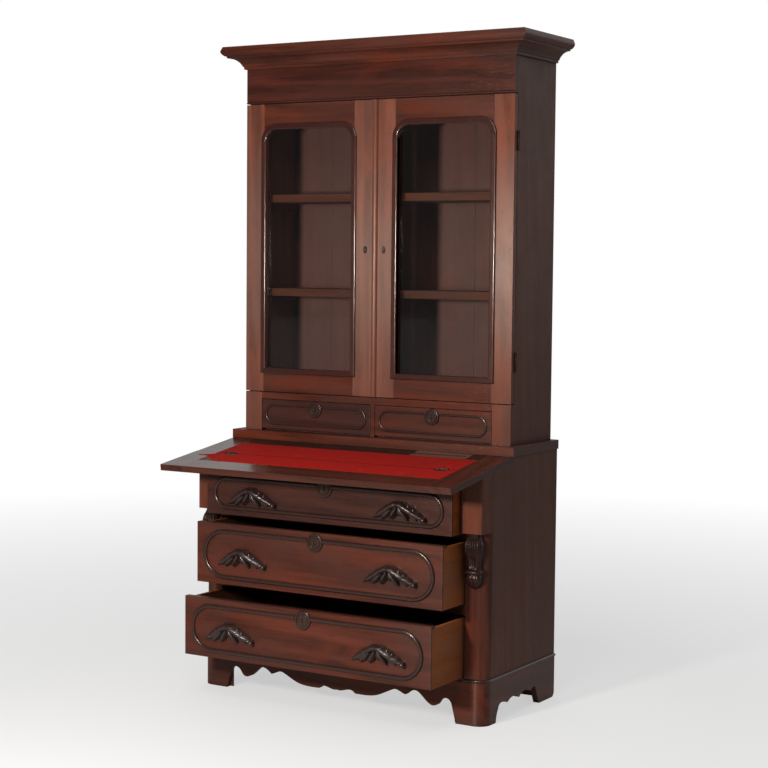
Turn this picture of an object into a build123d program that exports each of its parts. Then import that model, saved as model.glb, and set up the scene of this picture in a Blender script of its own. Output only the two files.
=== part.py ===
from build123d import *
import os
from math import atan2, cos, sin

os.makedirs("parts", exist_ok=True)

# Secretary desk in millimetres. +X is to the right of someone facing it, +Y runs from front to back
# and +Z is up. The origin is on the floor, under the middle of the desk with its lid and drawers open.

# Depths, as Y positions
back_y = 369.0  # rear edge of the deck and the bookcase
base_back_y = 365.0
deck_front_y = 38.0
door_face_y = 75.0  # front of the doors, the frieze and the small drawers
post_face_y = -130.0  # front of the corner posts, and of the two lower drawers when shut
block_face_y = -163.0  # front of the console blocks, and of the top drawer when shut
fold_y = -166.5  # fold line of the writing surface
lid_front_y = -369.0  # front edge of the open lid

# Widths, as half widths
base_half = 547.0
base_inner_half = 527.0
deck_half = 550.0
lid_half = 549.5
case_half = 520.0  # bookcase
drawer_opening_half = 472.0
long_front_half = 470.0
long_box_half = 468.0

# Heights, as Z positions
plinth_top = 137.0
ring_top = 147.0
block_bottom = 613.0
deck_under = 838.0
deck_top = 868.0
door_bottom = 1003.0
door_top = 1992.0
frieze_bottom = 1995.0
cornice_bottom = 2114.0
cornice_top = 2189.5

# Thicknesses
side_board = 20.0
deck_board = deck_top - deck_under
lid_board = 21.0
door_board = 20.0
drawer_front_board = 22.0
drawer_side_board = 12.0
front_lap = 5.0  # wood that covers the ends of the drawer sides
drawer_bottom_board = 8.0
back_board = 10.0
back_board_y = 349.0  # front of the back boards in both cases
felt_thickness = 1.6
felt_sink = 0.2  # the felt lies this far below the wood around it

# Writing surface: one plane from the deck's lower front edge down to the lid's front edge
surface_back_z = deck_under
surface_front_z = 781.0
surface_slope = (surface_back_z - surface_front_z) / (deck_front_y - lid_front_y)
surface_angle = atan2(surface_slope, 1.0)
bed_length = (deck_front_y - fold_y) / cos(surface_angle)
lid_length = (fold_y - lid_front_y) / cos(surface_angle)
felt_half = 460.0
lid_felt_length = 114.0
bed_felt_length = 141.5
fold_gap = 0.4


def surface_z(y):
    """Height of the writing surface at a given Y."""
    return surface_back_z + (y - deck_front_y) * surface_slope


def bed_under_z(y):
    """Height of the underside of the bed at a given Y."""
    return surface_z(y) - lid_board / cos(surface_angle)


# The writing plane has its origin on the fold line, local Y up the slope to the back, Z out of the wood
writing_plane = Plane(
    origin=(0, fold_y, surface_z(fold_y)),
    x_dir=(1, 0, 0),
    z_dir=(0, -sin(surface_angle), cos(surface_angle)),
)


def board(low, high):
    """Add one square-edged board between two opposite corners to the open part."""
    size = [b - a for a, b in zip(low, high)]
    middle = [(a + b) / 2 for a, b in zip(low, high)]
    with Locations(tuple(middle)):
        Box(*size)


def boards(spans):
    """Square-edged boards, each a solid of its own even where two are glued face to face."""
    pieces = []
    for low, high in spans:
        with BuildPart() as piece:
            board(low, high)
        pieces.append(piece.part)
    return pieces


def mirrored_span(side, near, far, low, high):
    """The two corners of a board that lies between near and far on one side of the middle."""
    xs = sorted((side * near, side * far))
    return (xs[0], low[0], low[1]), (xs[1], high[0], high[1])


def save(piece, name):
    """Label a finished part and write it as the node of that name."""
    piece.label = name
    export_step(piece, f"parts/{name}.step")


def save_group(pieces, name):
    """Write several finished solids as one node, without fusing them."""
    save(Compound(children=pieces), name)


sides = (-1, 1)

# ---------------------------------------------------------------------------------------------
# Base: side panels, corner posts, console blocks and corbels
# ---------------------------------------------------------------------------------------------

post_back_y = -88.0
post_round = 38.0
panel_seam_y = 192.0

side_panels = []
for side in sides:
    with BuildPart() as front_panel_board:
        with BuildSketch(Plane.YZ.offset(side * (base_half - side_board / 2))):
            with BuildLine():
                Polyline(
                    (post_back_y, plinth_top),
                    (panel_seam_y, plinth_top),
                    (panel_seam_y, deck_under),
                    (deck_front_y, deck_under),
                    (deck_front_y, bed_under_z(deck_front_y)),
                    (post_back_y, bed_under_z(post_back_y)),
                    close=True,
                )
            make_face()
        extrude(amount=side_board / 2, both=True)
    side_panels.append(front_panel_board.part)
side_panels += boards(
    mirrored_span(
        side, base_inner_half, base_half, (panel_seam_y, plinth_top), (base_back_y, deck_under)
    )
    for side in sides
)
save_group(side_panels, "base_side_panels")

with BuildPart() as corner_posts:
    for side in sides:
        with BuildSketch(Plane.XY.offset(plinth_top)):
            with BuildLine():
                inner = side * drawer_opening_half
                outer = side * base_half
                Line((inner, post_back_y), (inner, post_face_y))
                Line((inner, post_face_y), (outer - side * post_round, post_face_y))
                RadiusArc(
                    (outer - side * post_round, post_face_y),
                    (outer, post_face_y + post_round),
                    -side * post_round,
                )
                Line((outer, post_face_y + post_round), (outer, post_back_y))
                Line((outer, post_back_y), (inner, post_back_y))
            make_face()
        extrude(amount=block_bottom - plinth_top)
save(corner_posts.part, "corner_posts")

block_edge_round = 7.0

with BuildPart() as console_blocks:
    for side in sides:
        middle = side * (drawer_opening_half + base_half) / 2
        with BuildSketch(Plane.YZ.offset(middle)):
            with BuildLine():
                Polyline(
                    (block_face_y, block_bottom),
                    (post_back_y, block_bottom),
                    (post_back_y, bed_under_z(post_back_y)),
                    (block_face_y, bed_under_z(block_face_y)),
                    close=True,
                )
            make_face()
        extrude(amount=(base_half - drawer_opening_half) / 2, both=True)
    outer_front = console_blocks.edges().filter_by(Axis.Z).group_by(Axis.Y)[0]
    for side in sides:
        corner = outer_front.sort_by(Axis.X)[0 if side < 0 else -1]
        fillet(corner, block_edge_round)
save(console_blocks.part, "console_blocks")

corbel_half = 31.0
corbel_middle = 509.0
corbel_foot_z = 436.0

with BuildPart() as corbels:
    for side in sides:
        with BuildSketch(Plane.YZ.offset(side * corbel_middle)):
            with BuildLine():
                back = post_face_y
                Line((back, block_bottom), (back - 28, block_bottom))
                Spline(
                    (back - 28, block_bottom),
                    (back - 33, block_bottom - 24),
                    (back - 26, block_bottom - 48),
                    (back - 17, block_bottom - 80),
                    (back - 17, block_bottom - 106),
                    (back - 25, block_bottom - 122),
                    (back - 22, block_bottom - 144),
                    (back - 12, block_bottom - 162),
                    (back - 2, corbel_foot_z),
                )
                Line((back - 2, corbel_foot_z), (back, corbel_foot_z))
                Line((back, corbel_foot_z), (back, block_bottom))
            make_face()
        extrude(amount=corbel_half, both=True)
save(corbels.part, "corbels")

# ---------------------------------------------------------------------------------------------
# Plinth: shaped aprons, bracket feet, floor and ring moulding
# ---------------------------------------------------------------------------------------------

plinth_half = 549.0
plinth_face_y = -134.0
plinth_board = 20.0
plinth_round = 42.0
foot_split_x = 430.0  # the front apron ends here and the corner foot begins
foot_back_y = -40.0  # the corner foot ends here along the side
rear_foot_y = 226.0  # the rear foot begins here
floor_board_z = 119.0


def front_apron_edge(side):
    """The scrolled lower edge of half the front apron, from its middle out to the foot."""
    Spline((0, 50), (side * 22, 50), (side * 48, 56), (side * 70, 46))
    Spline((side * 70, 46), (side * 110, 46), (side * 153, 52), (side * 188, 67), (side * 214, 79))
    Spline((side * 214, 79), (side * 227, 81), (side * 242, 76), (side * 262, 69))
    Spline((side * 262, 69), (side * 280, 82), (side * 298, 87), (side * 324, 72), (side * 366, 47))
    Spline(
        (side * 366, 47),
        (side * 378, 52),
        (side * 390, 68),
        (side * 408, 77),
        (side * foot_split_x, 62),
    )


with BuildPart() as front_apron:
    with BuildSketch(Plane.XZ.offset(-plinth_face_y - plinth_board)):
        with BuildLine():
            for side in sides:
                front_apron_edge(side)
                Line((side * foot_split_x, 62), (side * foot_split_x, plinth_top))
            Line((-foot_split_x, plinth_top), (foot_split_x, plinth_top))
        make_face()
    extrude(amount=plinth_board)

plinth_pieces = [front_apron.part]
for side in sides:
    with BuildPart() as side_apron:
        with BuildSketch(Plane.YZ.offset(side * (plinth_half - plinth_board / 2))):
            with BuildLine():
                Spline((foot_back_y, 44), (-32, 55), (-8, 58), (25, 50))
                Spline((25, 50), (40, 58), (68, 62), (107, 50))
                Spline((107, 50), (122, 60), (150, 65), (190, 54))
                Spline((190, 54), (200, 61), (214, 64), (rear_foot_y, 52))
                Polyline(
                    (rear_foot_y, 52),
                    (rear_foot_y, plinth_top),
                    (foot_back_y, plinth_top),
                    (foot_back_y, 44),
                )
            make_face()
        extrude(amount=plinth_board / 2, both=True)
    plinth_pieces.append(side_apron.part)
floor_half = plinth_half - plinth_board
floor_front_y = plinth_face_y + plinth_board
plinth_pieces += boards(
    [((-floor_half, floor_front_y, floor_board_z), (floor_half, back_board_y, plinth_top))]
)
save_group(plinth_pieces, "plinth_boards")

foot_rim = 6.0
foot_inset = 16.0  # each foot narrows by this much towards the floor
rear_round = 18.0  # lower back corner of the rear foot

with BuildPart() as bracket_feet:
    for side in sides:
        outer = side * plinth_half
        with BuildSketch(Plane.XY):
            with BuildLine():
                inner = side * foot_split_x
                Line((inner, plinth_face_y), (outer - side * plinth_round, plinth_face_y))
                RadiusArc(
                    (outer - side * plinth_round, plinth_face_y),
                    (outer, plinth_face_y + plinth_round),
                    -side * plinth_round,
                )
                Polyline(
                    (outer, plinth_face_y + plinth_round),
                    (outer, foot_back_y),
                    (outer - side * plinth_board, foot_back_y),
                    (inner, plinth_face_y + plinth_board),
                    (inner, plinth_face_y),
                )
            make_face()
        extrude(amount=floor_board_z)
        # the plinth rises past the floor board as a thinner wall on the outside only
        with BuildSketch(Plane.XY.offset(floor_board_z)):
            with BuildLine():
                wall_x = outer - side * plinth_board
                wall_y = plinth_face_y + plinth_board
                Line((inner, plinth_face_y), (outer - side * plinth_round, plinth_face_y))
                RadiusArc(
                    (outer - side * plinth_round, plinth_face_y),
                    (outer, plinth_face_y + plinth_round),
                    -side * plinth_round,
                )
                Polyline(
                    (outer, plinth_face_y + plinth_round),
                    (outer, foot_back_y),
                    (wall_x, foot_back_y),
                    (wall_x, wall_y),
                    (inner, wall_y),
                    (inner, plinth_face_y),
                )
            make_face()
        extrude(amount=plinth_top - floor_board_z)
        # the inner edges sweep in towards the floor
        with BuildSketch(Plane.XZ.offset(-plinth_face_y + 1)):
            with BuildLine():
                Spline((inner, 62), (inner + side * 6, 40), (inner + side * foot_inset, 0))
                Polyline(
                    (inner + side * foot_inset, 0),
                    (inner + side * foot_inset, -1),
                    (inner - side, -1),
                    (inner - side, 62),
                    (inner, 62),
                )
            make_face()
        extrude(amount=-plinth_board - 2, mode=Mode.SUBTRACT)
        with BuildSketch(Plane.YZ.offset(outer + side)):
            with BuildLine():
                edge = foot_back_y
                Spline((edge, 44), (edge - 8, 30), (edge - foot_inset, 0))
                Polyline(
                    (edge - foot_inset, 0),
                    (edge - foot_inset, -1),
                    (edge + 1, -1),
                    (edge + 1, 44),
                    (edge, 44),
                )
            make_face()
        extrude(amount=-side * (plinth_board + 2), mode=Mode.SUBTRACT)
        # rear foot: a shaped bracket at the end of the side board
        with BuildSketch(Plane.YZ.offset(side * (plinth_half - plinth_board / 2))):
            with BuildLine():
                rear = base_back_y
                Spline((rear_foot_y, 52), (rear_foot_y + 8, 34), (rear_foot_y + 22, foot_rim))
                RadiusArc(
                    (rear_foot_y + 22, foot_rim), (rear_foot_y + 22 + foot_rim, 0), -foot_rim
                )
                Line((rear_foot_y + 22 + foot_rim, 0), (rear - rear_round, 0))
                RadiusArc((rear - rear_round, 0), (rear, rear_round), -rear_round)
                Polyline(
                    (rear, rear_round),
                    (rear, plinth_top),
                    (rear_foot_y, plinth_top),
                    (rear_foot_y, 52),
                )
            make_face()
        extrude(amount=plinth_board / 2, both=True)
        near = side * (plinth_half - plinth_board)
        far = side * (plinth_half - plinth_board - 90)
        board(
            (min(near, far), back_board_y - 18, 0),
            (max(near, far), back_board_y, floor_board_z),
        )
save(bracket_feet.part, "bracket_feet")

ring_reach = 6.0

with BuildPart() as ring_moulding:
    for side in sides:
        with BuildLine() as ring_path:
            outer = side * base_half
            Line((outer, base_back_y, ring_top - 5), (outer, post_face_y + post_round, ring_top - 5))
            RadiusArc(
                (outer, post_face_y + post_round, ring_top - 5),
                (outer - side * post_round, post_face_y, ring_top - 5),
                side * post_round,
            )
            Line(
                (outer - side * post_round, post_face_y, ring_top - 5),
                (side * drawer_opening_half, post_face_y, ring_top - 5),
            )
        ring_start = Plane(
            origin=(outer, base_back_y, ring_top - 5), x_dir=(side, 0, 0), z_dir=(0, -side, 0)
        )
        with BuildSketch(ring_start):
            with BuildLine():
                Line((0, -5), (1.5, -5))
                ThreePointArc((1.5, -5), (ring_reach, 0), (1.5, 5))
                Line((1.5, 5), (0, 5))
                Line((0, 5), (0, -5))
            make_face()
        sweep(path=ring_path.wire())
save(ring_moulding.part, "ring_moulding")

# ---------------------------------------------------------------------------------------------
# Inside the base: blades, rails, runners, guides and back boards
# ---------------------------------------------------------------------------------------------

drawer_names = ("upper", "middle", "lower")
drawer_bottoms = {"upper": 608.0, "middle": 384.0, "lower": 150.0}
drawer_tops = {"upper": 756.0, "middle": 586.0, "lower": 346.0}
drawer_shut_faces = {"upper": block_face_y, "middle": post_face_y, "lower": post_face_y}
drawer_open_by = {"upper": 53.0, "middle": 141.0, "lower": 207.0}
drawer_gap = 2.0
blade_back_y = post_back_y
runner_back_y = 345.0
runner_inner = 440.0

with BuildPart() as blades_and_rails:
    blade_spans = (
        (plinth_top, drawer_bottoms["lower"] - drawer_gap),
        (drawer_tops["lower"] + drawer_gap, drawer_bottoms["middle"] - drawer_gap),
        (drawer_tops["middle"] + drawer_gap, drawer_bottoms["upper"] - drawer_gap),
    )
    for blade_low, blade_high in blade_spans:
        board(
            (-drawer_opening_half, post_face_y, blade_low),
            (drawer_opening_half, blade_back_y, blade_high),
        )
    # rail above the top drawer, its upper edge planed to the slope of the bed
    with BuildSketch(Plane.YZ):
        with BuildLine():
            rail_back = block_face_y + 20
            Polyline(
                (block_face_y, drawer_tops["upper"] + 3),
                (rail_back, drawer_tops["upper"] + 3),
                (rail_back, bed_under_z(rail_back)),
                (block_face_y, bed_under_z(block_face_y)),
                close=True,
            )
        make_face()
    extrude(amount=drawer_opening_half, both=True)
    # rail under the front of the deck
    board((-base_inner_half, 42.0, 790.0), (base_inner_half, 62.0, deck_under))
save(blades_and_rails.part, "blades_and_rails")

runner_spans = []
for name in drawer_names:
    runner_top = drawer_bottoms[name] - drawer_gap
    runner_low = plinth_top if name == "lower" else runner_top - 16
    for side in sides:
        runner_spans.append(
            mirrored_span(
                side,
                runner_inner,
                base_inner_half,
                (blade_back_y, runner_low),
                (runner_back_y, runner_top),
            )
        )
        runner_spans.append(
            mirrored_span(
                side,
                long_box_half + 2,
                long_box_half + 16,
                (blade_back_y, runner_top),
                (runner_back_y, runner_top + 24),
            )
        )
save_group(boards(runner_spans), "drawer_runners")

base_board_edges = (-527.0, -318.0, -96.0, 132.0, 330.0, 527.0)
board_joint = 0.6
board_lap = 9.0
lap_gap = 0.3


def boarded_back(edges, low_z, high_z):
    """Upright back boards side by side, each with a lap that covers the joint to the next."""
    lap_middle_y = back_board_y + back_board / 2
    for left, right in zip(edges, edges[1:]):
        low_x = left + board_joint / 2
        high_x = right - board_joint / 2
        body_x = low_x if left == edges[0] else low_x + board_lap
        board((body_x, back_board_y, low_z), (high_x, back_board_y + back_board, high_z))
        if left != edges[0]:
            board((low_x, lap_middle_y, low_z), (body_x, back_board_y + back_board, high_z))
        if right != edges[-1]:
            board(
                (high_x, back_board_y, low_z),
                (high_x + board_lap, lap_middle_y - lap_gap, high_z),
            )


with BuildPart() as base_back_boards:
    boarded_back(base_board_edges, plinth_top, deck_under)
save(base_back_boards.part, "base_back_boards")

with BuildPart() as deck:
    board((-deck_half, deck_front_y, deck_under), (deck_half, back_y, deck_top))
    front_edges = deck.edges().filter_by(Axis.X).group_by(Axis.Y)[0]
    fillet(front_edges, 1.5)
save(deck.part, "deck")

# ---------------------------------------------------------------------------------------------
# Writing surface: fixed bed, folding lid and the hinges between them
# ---------------------------------------------------------------------------------------------

hinge_rise = 1.0  # the fold axis stands this far above the wood
hinge_middle_x = 405.0
hinge_half = 22.0
hinge_leaf_reach = 18.0
hinge_pocket_half = hinge_half + 1.0
hinge_pocket_reach = hinge_leaf_reach + 0.5
hinge_corner = 14.0
leaf_top = -0.3
leaf_under = -1.7
knuckle_radius = 2.4
lid_pin_radius = 1.1
pin_clearance = 0.05
middle_knuckle_half = 8.0
knuckle_gap = 0.3
panel_top = -(felt_sink + felt_thickness)
pen_groove_middle = 300.0
pen_groove_half = 100.0
pen_groove_width = 20.0
pen_groove_depth = 6.0
bearer_positions = (-300.0, 0.0, 300.0)


def surface_board(low, high):
    """One board lying in the writing plane, given in that plane's own coordinates."""
    size = [b - a for a, b in zip(low, high)]
    middle = [(a + b) / 2 for a, b in zip(low, high)]
    with BuildPart(writing_plane, mode=Mode.PRIVATE) as piece:
        with Locations(tuple(middle)):
            Box(*size)
    return piece.part


# The bed's boards run a little long and are cut off upright at the deck's front edge
bed_overrun = bed_length + 6
bed_pieces = []
for side in sides:
    near, far = sorted((side * felt_half, side * base_half))
    bed_pieces.append(surface_board((near, 0, -lid_board), (far, bed_overrun, 0)))
bed_pieces.append(
    surface_board((-felt_half, 0, -lid_board), (felt_half, bed_felt_length, panel_top))
)
with BuildPart() as back_rail:
    add(surface_board((-felt_half, bed_felt_length, -lid_board), (felt_half, bed_overrun, 0)))
    # shallow pen groove
    with BuildSketch(writing_plane):
        with Locations((pen_groove_middle, (bed_felt_length + bed_length) / 2)):
            SlotOverall(2 * pen_groove_half, pen_groove_width)
    extrude(amount=-pen_groove_depth, mode=Mode.SUBTRACT)
bed_pieces.append(back_rail.part)
# three bearers under the bed, between the rail over the top drawer and the rail under the deck
for middle in bearer_positions:
    bearer_front = (block_face_y + 24 - fold_y) / cos(surface_angle)
    bed_pieces.append(
        surface_board(
            (middle - 20, bearer_front, -lid_board - 12), (middle + 20, bed_overrun, -lid_board)
        )
    )
trimmed_bed = []
for bed_piece in bed_pieces:
    with BuildPart() as trimmed:
        add(bed_piece)
        split(bisect_by=Plane(origin=(0, deck_front_y, 0), z_dir=(0, -1, 0)), keep=Keep.TOP)
    trimmed_bed.append(trimmed.part)
save_group(trimmed_bed, "bed_frame")

with BuildPart(writing_plane) as bed_felt:
    board((-felt_half, 0, panel_top), (felt_half, bed_felt_length, -felt_sink))
    with BuildSketch(writing_plane):
        with Locations((-hinge_middle_x, 0), (hinge_middle_x, 0)):
            RectangleRounded(2 * hinge_pocket_half, 2 * hinge_pocket_reach, hinge_corner)
    extrude(amount=-3, mode=Mode.SUBTRACT)
save(bed_felt.part, "bed_felt")

lid_pieces = []
for side in sides:
    near, far = sorted((side * felt_half, side * lid_half))
    lid_pieces.append(surface_board((near, -lid_length, -lid_board), (far, -fold_gap, 0)))
lid_pieces.append(
    surface_board((-felt_half, -lid_length, -lid_board), (felt_half, -lid_felt_length, 0))
)
lid_pieces.append(
    surface_board((-felt_half, -lid_felt_length, -lid_board), (felt_half, -fold_gap, panel_top))
)
save_group(lid_pieces, "lid_frame")

with BuildPart(writing_plane) as lid_felt:
    board((-felt_half, -lid_felt_length, panel_top), (felt_half, -fold_gap, -felt_sink))
    with BuildSketch(writing_plane):
        with Locations((-hinge_middle_x, 0), (hinge_middle_x, 0)):
            RectangleRounded(2 * hinge_pocket_half, 2 * hinge_pocket_reach, hinge_corner)
    extrude(amount=-3, mode=Mode.SUBTRACT)
save(lid_felt.part, "lid_felt")


def fold_axis_plane(x):
    """A plane across the fold axis at x: local X runs up the slope, local Y out of the surface."""
    return Plane(
        origin=writing_plane.from_local_coords(Vector(x, 0, hinge_rise)),
        x_dir=writing_plane.y_dir,
        z_dir=(1, 0, 0),
    )


def fold_leaf(middle, direction, spans, bore):
    """One inlaid hinge leaf with its knuckles on the given spans of X about the middle."""
    with BuildPart(mode=Mode.PRIVATE) as leaf:
        inner = direction * 2.8
        outer = direction * hinge_leaf_reach
        add(
            surface_board(
                (middle - hinge_half, min(inner, outer), leaf_under),
                (middle + hinge_half, max(inner, outer), leaf_top),
            )
        )
        for low, high in spans:
            add(
                surface_board(
                    (middle + low, min(0, inner), leaf_under),
                    (middle + high, max(0, inner), leaf_top),
                )
            )
            with BuildSketch(fold_axis_plane(middle + low)):
                Circle(knuckle_radius)
            extrude(amount=high - low)
        with BuildSketch(writing_plane.offset(-5)):
            with Locations((middle, 0)):
                RectangleRounded(2 * hinge_half + 1, 2 * hinge_leaf_reach, hinge_corner)
        extrude(amount=12, mode=Mode.INTERSECT)
        with BuildSketch(fold_axis_plane(middle - hinge_half - 1)):
            Circle(bore)
        extrude(amount=2 * hinge_half + 2, mode=Mode.SUBTRACT)
    return leaf.part


centre_spans = ((-middle_knuckle_half, middle_knuckle_half),)
outer_spans = (
    (-hinge_half, -middle_knuckle_half - knuckle_gap),
    (middle_knuckle_half + knuckle_gap, hinge_half),
)

with BuildPart() as lid_hinge_bed_leaves:
    for side in sides:
        add(fold_leaf(side * hinge_middle_x, 1, centre_spans, lid_pin_radius + 0.02))
        with BuildSketch(fold_axis_plane(side * hinge_middle_x - hinge_half)):
            Circle(lid_pin_radius)
        extrude(amount=2 * hinge_half)
save(lid_hinge_bed_leaves.part, "lid_hinge_bed_leaves")

with BuildPart() as lid_hinge_leaves:
    for side in sides:
        add(fold_leaf(side * hinge_middle_x, -1, outer_spans, lid_pin_radius + pin_clearance))
save(lid_hinge_leaves.part, "lid_hinge_leaves")

# ---------------------------------------------------------------------------------------------
# Bookcase: sides, boards, shelves, back, front members, frieze and cornice
# ---------------------------------------------------------------------------------------------

case_inner_half = case_half - side_board
case_front_y = door_face_y + door_board + 3.0  # front edges of the sides, behind the doors
case_head_z = 2186.0
small_opening_half = 452.0
divider_half = 8.0
case_bottom_top = 884.0
floor_top = 1000.0
shelf_tops = (1360.0, 1684.0)
shelf_board = 26.0
shelf_front_y = 121.0

with BuildPart() as bookcase_sides:
    for side in sides:
        near, far = side * case_inner_half, side * case_half
        board((min(near, far), case_front_y, deck_top), (max(near, far), back_y, case_head_z))
save(bookcase_sides.part, "bookcase_sides")

with BuildPart() as bookcase_boards:
    level_spans = (
        (deck_top, case_bottom_top),
        (980.0, floor_top),
        (1978.0, 1998.0),
        (2168.0, case_head_z),
    )
    for low_z, high_z in level_spans:
        board(
            (-case_inner_half, case_front_y, low_z),
            (case_inner_half, back_board_y, high_z),
        )
save(bookcase_boards.part, "bookcase_boards")

with BuildPart() as shelves:
    for top in shelf_tops:
        board(
            (-case_inner_half + 1, shelf_front_y, top - shelf_board),
            (case_inner_half - 1, back_board_y - 2, top),
        )
save(shelves.part, "shelves")

with BuildPart() as shelf_cleats:
    for top in shelf_tops:
        for side in sides:
            near, far = side * (case_inner_half - 14), side * case_inner_half
            board(
                (min(near, far), shelf_front_y + 20, top - shelf_board - 18),
                (max(near, far), back_board_y - 4, top - shelf_board),
            )
save(shelf_cleats.part, "shelf_cleats")

case_board_edges = (-500.0, -352.0, -128.0, 46.0, 226.0, 500.0)

with BuildPart() as bookcase_back_boards:
    boarded_back(case_board_edges, deck_top, case_head_z)
save(bookcase_back_boards.part, "bookcase_back_boards")

rail_low = 977.0
surround_spans = []
for side in sides:
    surround_spans.append(
        mirrored_span(
            side,
            small_opening_half,
            case_half,
            (door_face_y, deck_top),
            (case_front_y, floor_top),
        )
    )
    surround_spans.append(
        mirrored_span(
            side,
            small_opening_half,
            case_inner_half,
            (case_front_y, case_bottom_top),
            (back_board_y - 14, case_bottom_top + 30),
        )
    )
surround_spans += [
    ((-small_opening_half, door_face_y, rail_low), (small_opening_half, case_front_y, floor_top)),
    ((-divider_half, door_face_y, deck_top), (divider_half, case_front_y, rail_low)),
    ((-divider_half, case_front_y, case_bottom_top), (divider_half, back_board_y, rail_low)),
]
save_group(boards(surround_spans), "small_drawer_surround")

bead_top = 2002.0

with BuildPart() as frieze:
    board((-case_half, door_face_y, bead_top), (case_half, case_front_y, case_head_z))
    with BuildSketch(Plane.YZ):
        with BuildLine():
            Line((door_face_y + 1, frieze_bottom), (case_front_y, frieze_bottom))
            Line((case_front_y, frieze_bottom), (case_front_y, bead_top - 0.8))
            Line((case_front_y, bead_top - 0.8), (door_face_y + 1, bead_top - 0.8))
            ThreePointArc(
                (door_face_y + 1, bead_top - 0.8),
                (door_face_y - 2, (frieze_bottom + bead_top - 0.8) / 2),
                (door_face_y + 1, frieze_bottom),
            )
        make_face()
    extrude(amount=case_half, both=True)
save(frieze.part, "frieze")

cornice_reach = 67.0


def cornice_profile():
    """The cornice's section: local X is the reach out from the case, local Y the height."""
    rise = cornice_top - cornice_bottom
    with BuildSketch(mode=Mode.PRIVATE) as section:
        with BuildLine():
            Polyline((0, rise), (0, 0), (7, 0), (8, 3), (8, 9), (11, 9))
            RadiusArc((11, 9), (44, 37), 42)
            Polyline((44, 37), (51, 37), (51, 42))
            Spline(
                (51, 42),
                (62, 48),
                (cornice_reach, 59),
                (63, 70),
                (52, rise),
                tangents=((1, 0.1), (-1, 0)),
            )
            Line((52, rise), (0, rise))
        make_face()
    return section.sketch


with BuildPart() as cornice_front:
    front_section = Plane(origin=(0, door_face_y, cornice_bottom), x_dir=(0, -1, 0), z_dir=(-1, 0, 0))
    with BuildSketch(front_section):
        add(cornice_profile())
    extrude(amount=case_half + cornice_reach, both=True)
    for side in sides:
        mitre = Plane(origin=(side * case_half, door_face_y, 0), z_dir=(-side, -1, 0))
        split(bisect_by=mitre, keep=Keep.TOP)

with BuildPart() as cornice_right:
    side_section = Plane(origin=(case_half, back_y, cornice_bottom), x_dir=(1, 0, 0), z_dir=(0, -1, 0))
    with BuildSketch(side_section):
        add(cornice_profile())
    extrude(amount=back_y - door_face_y + cornice_reach)
    split(bisect_by=Plane(origin=(case_half, door_face_y, 0), z_dir=(1, 1, 0)), keep=Keep.TOP)

cornice_left = cornice_right.part.mirror(Plane.YZ)
save_group([cornice_front.part, cornice_right.part, cornice_left], "cornice")

# ---------------------------------------------------------------------------------------------
# Doors
# ---------------------------------------------------------------------------------------------

door_outer_x = case_half
door_edges = {"left": -7.5, "right": -6.0}  # meeting edges
glass_middle_x = 263.5
glass_middle_z = 1495.5
frame_opening_half_width = 183.5
frame_opening_half_height = 419.5
opening_round = 50.0
moulding_lip = 10.0  # the moulding stands in from the frame's edge by this
moulding_cover = 10.0  # and covers the frame by this
moulding_proud = 6.0
glass_front_y = door_face_y + 11.0
glass_thickness = 3.0
door_hinge_zs = (1136.0, 1844.0)
door_hinge_half = 32.0
door_knuckle_radius = 3.2
door_pin_radius = 1.25
door_pin_x = 523.4
door_pin_y = door_face_y + door_board + 1.5
door_leaf_board = 1.4
door_leaf_inner = 501.0
escutcheon_z = 1495.0
escutcheon_xs = {"left": -34.0, "right": 38.0}
front_plane = Plane(origin=(0, door_face_y, 0), x_dir=(1, 0, 0), z_dir=(0, -1, 0))


def arched_window(middle_x, grow):
    """A window with round upper corners and square lower ones, grown all round."""
    half_width = frame_opening_half_width + grow
    low = glass_middle_z - frame_opening_half_height - grow
    high = glass_middle_z + frame_opening_half_height + grow
    bend = opening_round + grow
    left, right = middle_x - half_width, middle_x + half_width
    with BuildSketch(mode=Mode.PRIVATE) as window:
        with BuildLine():
            Line((left, low), (right, low))
            Line((right, low), (right, high - bend))
            RadiusArc((right, high - bend), (right - bend, high), -bend)
            Line((right - bend, high), (left + bend, high))
            RadiusArc((left + bend, high), (left, high - bend), -bend)
            Line((left, high - bend), (left, low))
        make_face()
    return window.sketch


def door_frame(side, meeting_x):
    """Two full-height stiles with a rail between them at the top and at the bottom."""
    middle_x = side * glass_middle_x
    window_left = middle_x - frame_opening_half_width
    window_right = middle_x + frame_opening_half_width
    outer = side * door_outer_x
    left = min(outer, meeting_x)
    right = max(outer, meeting_x)
    rail_low_top = glass_middle_z - frame_opening_half_height
    rail_high_low = glass_middle_z + frame_opening_half_height - opening_round
    back = door_face_y + door_board
    spans = (
        ((left, door_face_y, door_bottom), (window_left, back, door_top)),
        ((window_right, door_face_y, door_bottom), (right, back, door_top)),
        ((window_left, door_face_y, door_bottom), (window_right, back, rail_low_top)),
        ((window_left, door_face_y, rail_high_low), (window_right, back, door_top)),
    )
    pieces = []
    for low, high in spans:
        with BuildPart() as piece:
            board(low, high)
            with BuildSketch(front_plane.offset(1)):
                add(arched_window(middle_x, 0))
            extrude(amount=-door_board - 2, mode=Mode.SUBTRACT)
        pieces.append(piece.part)
    return pieces


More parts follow.
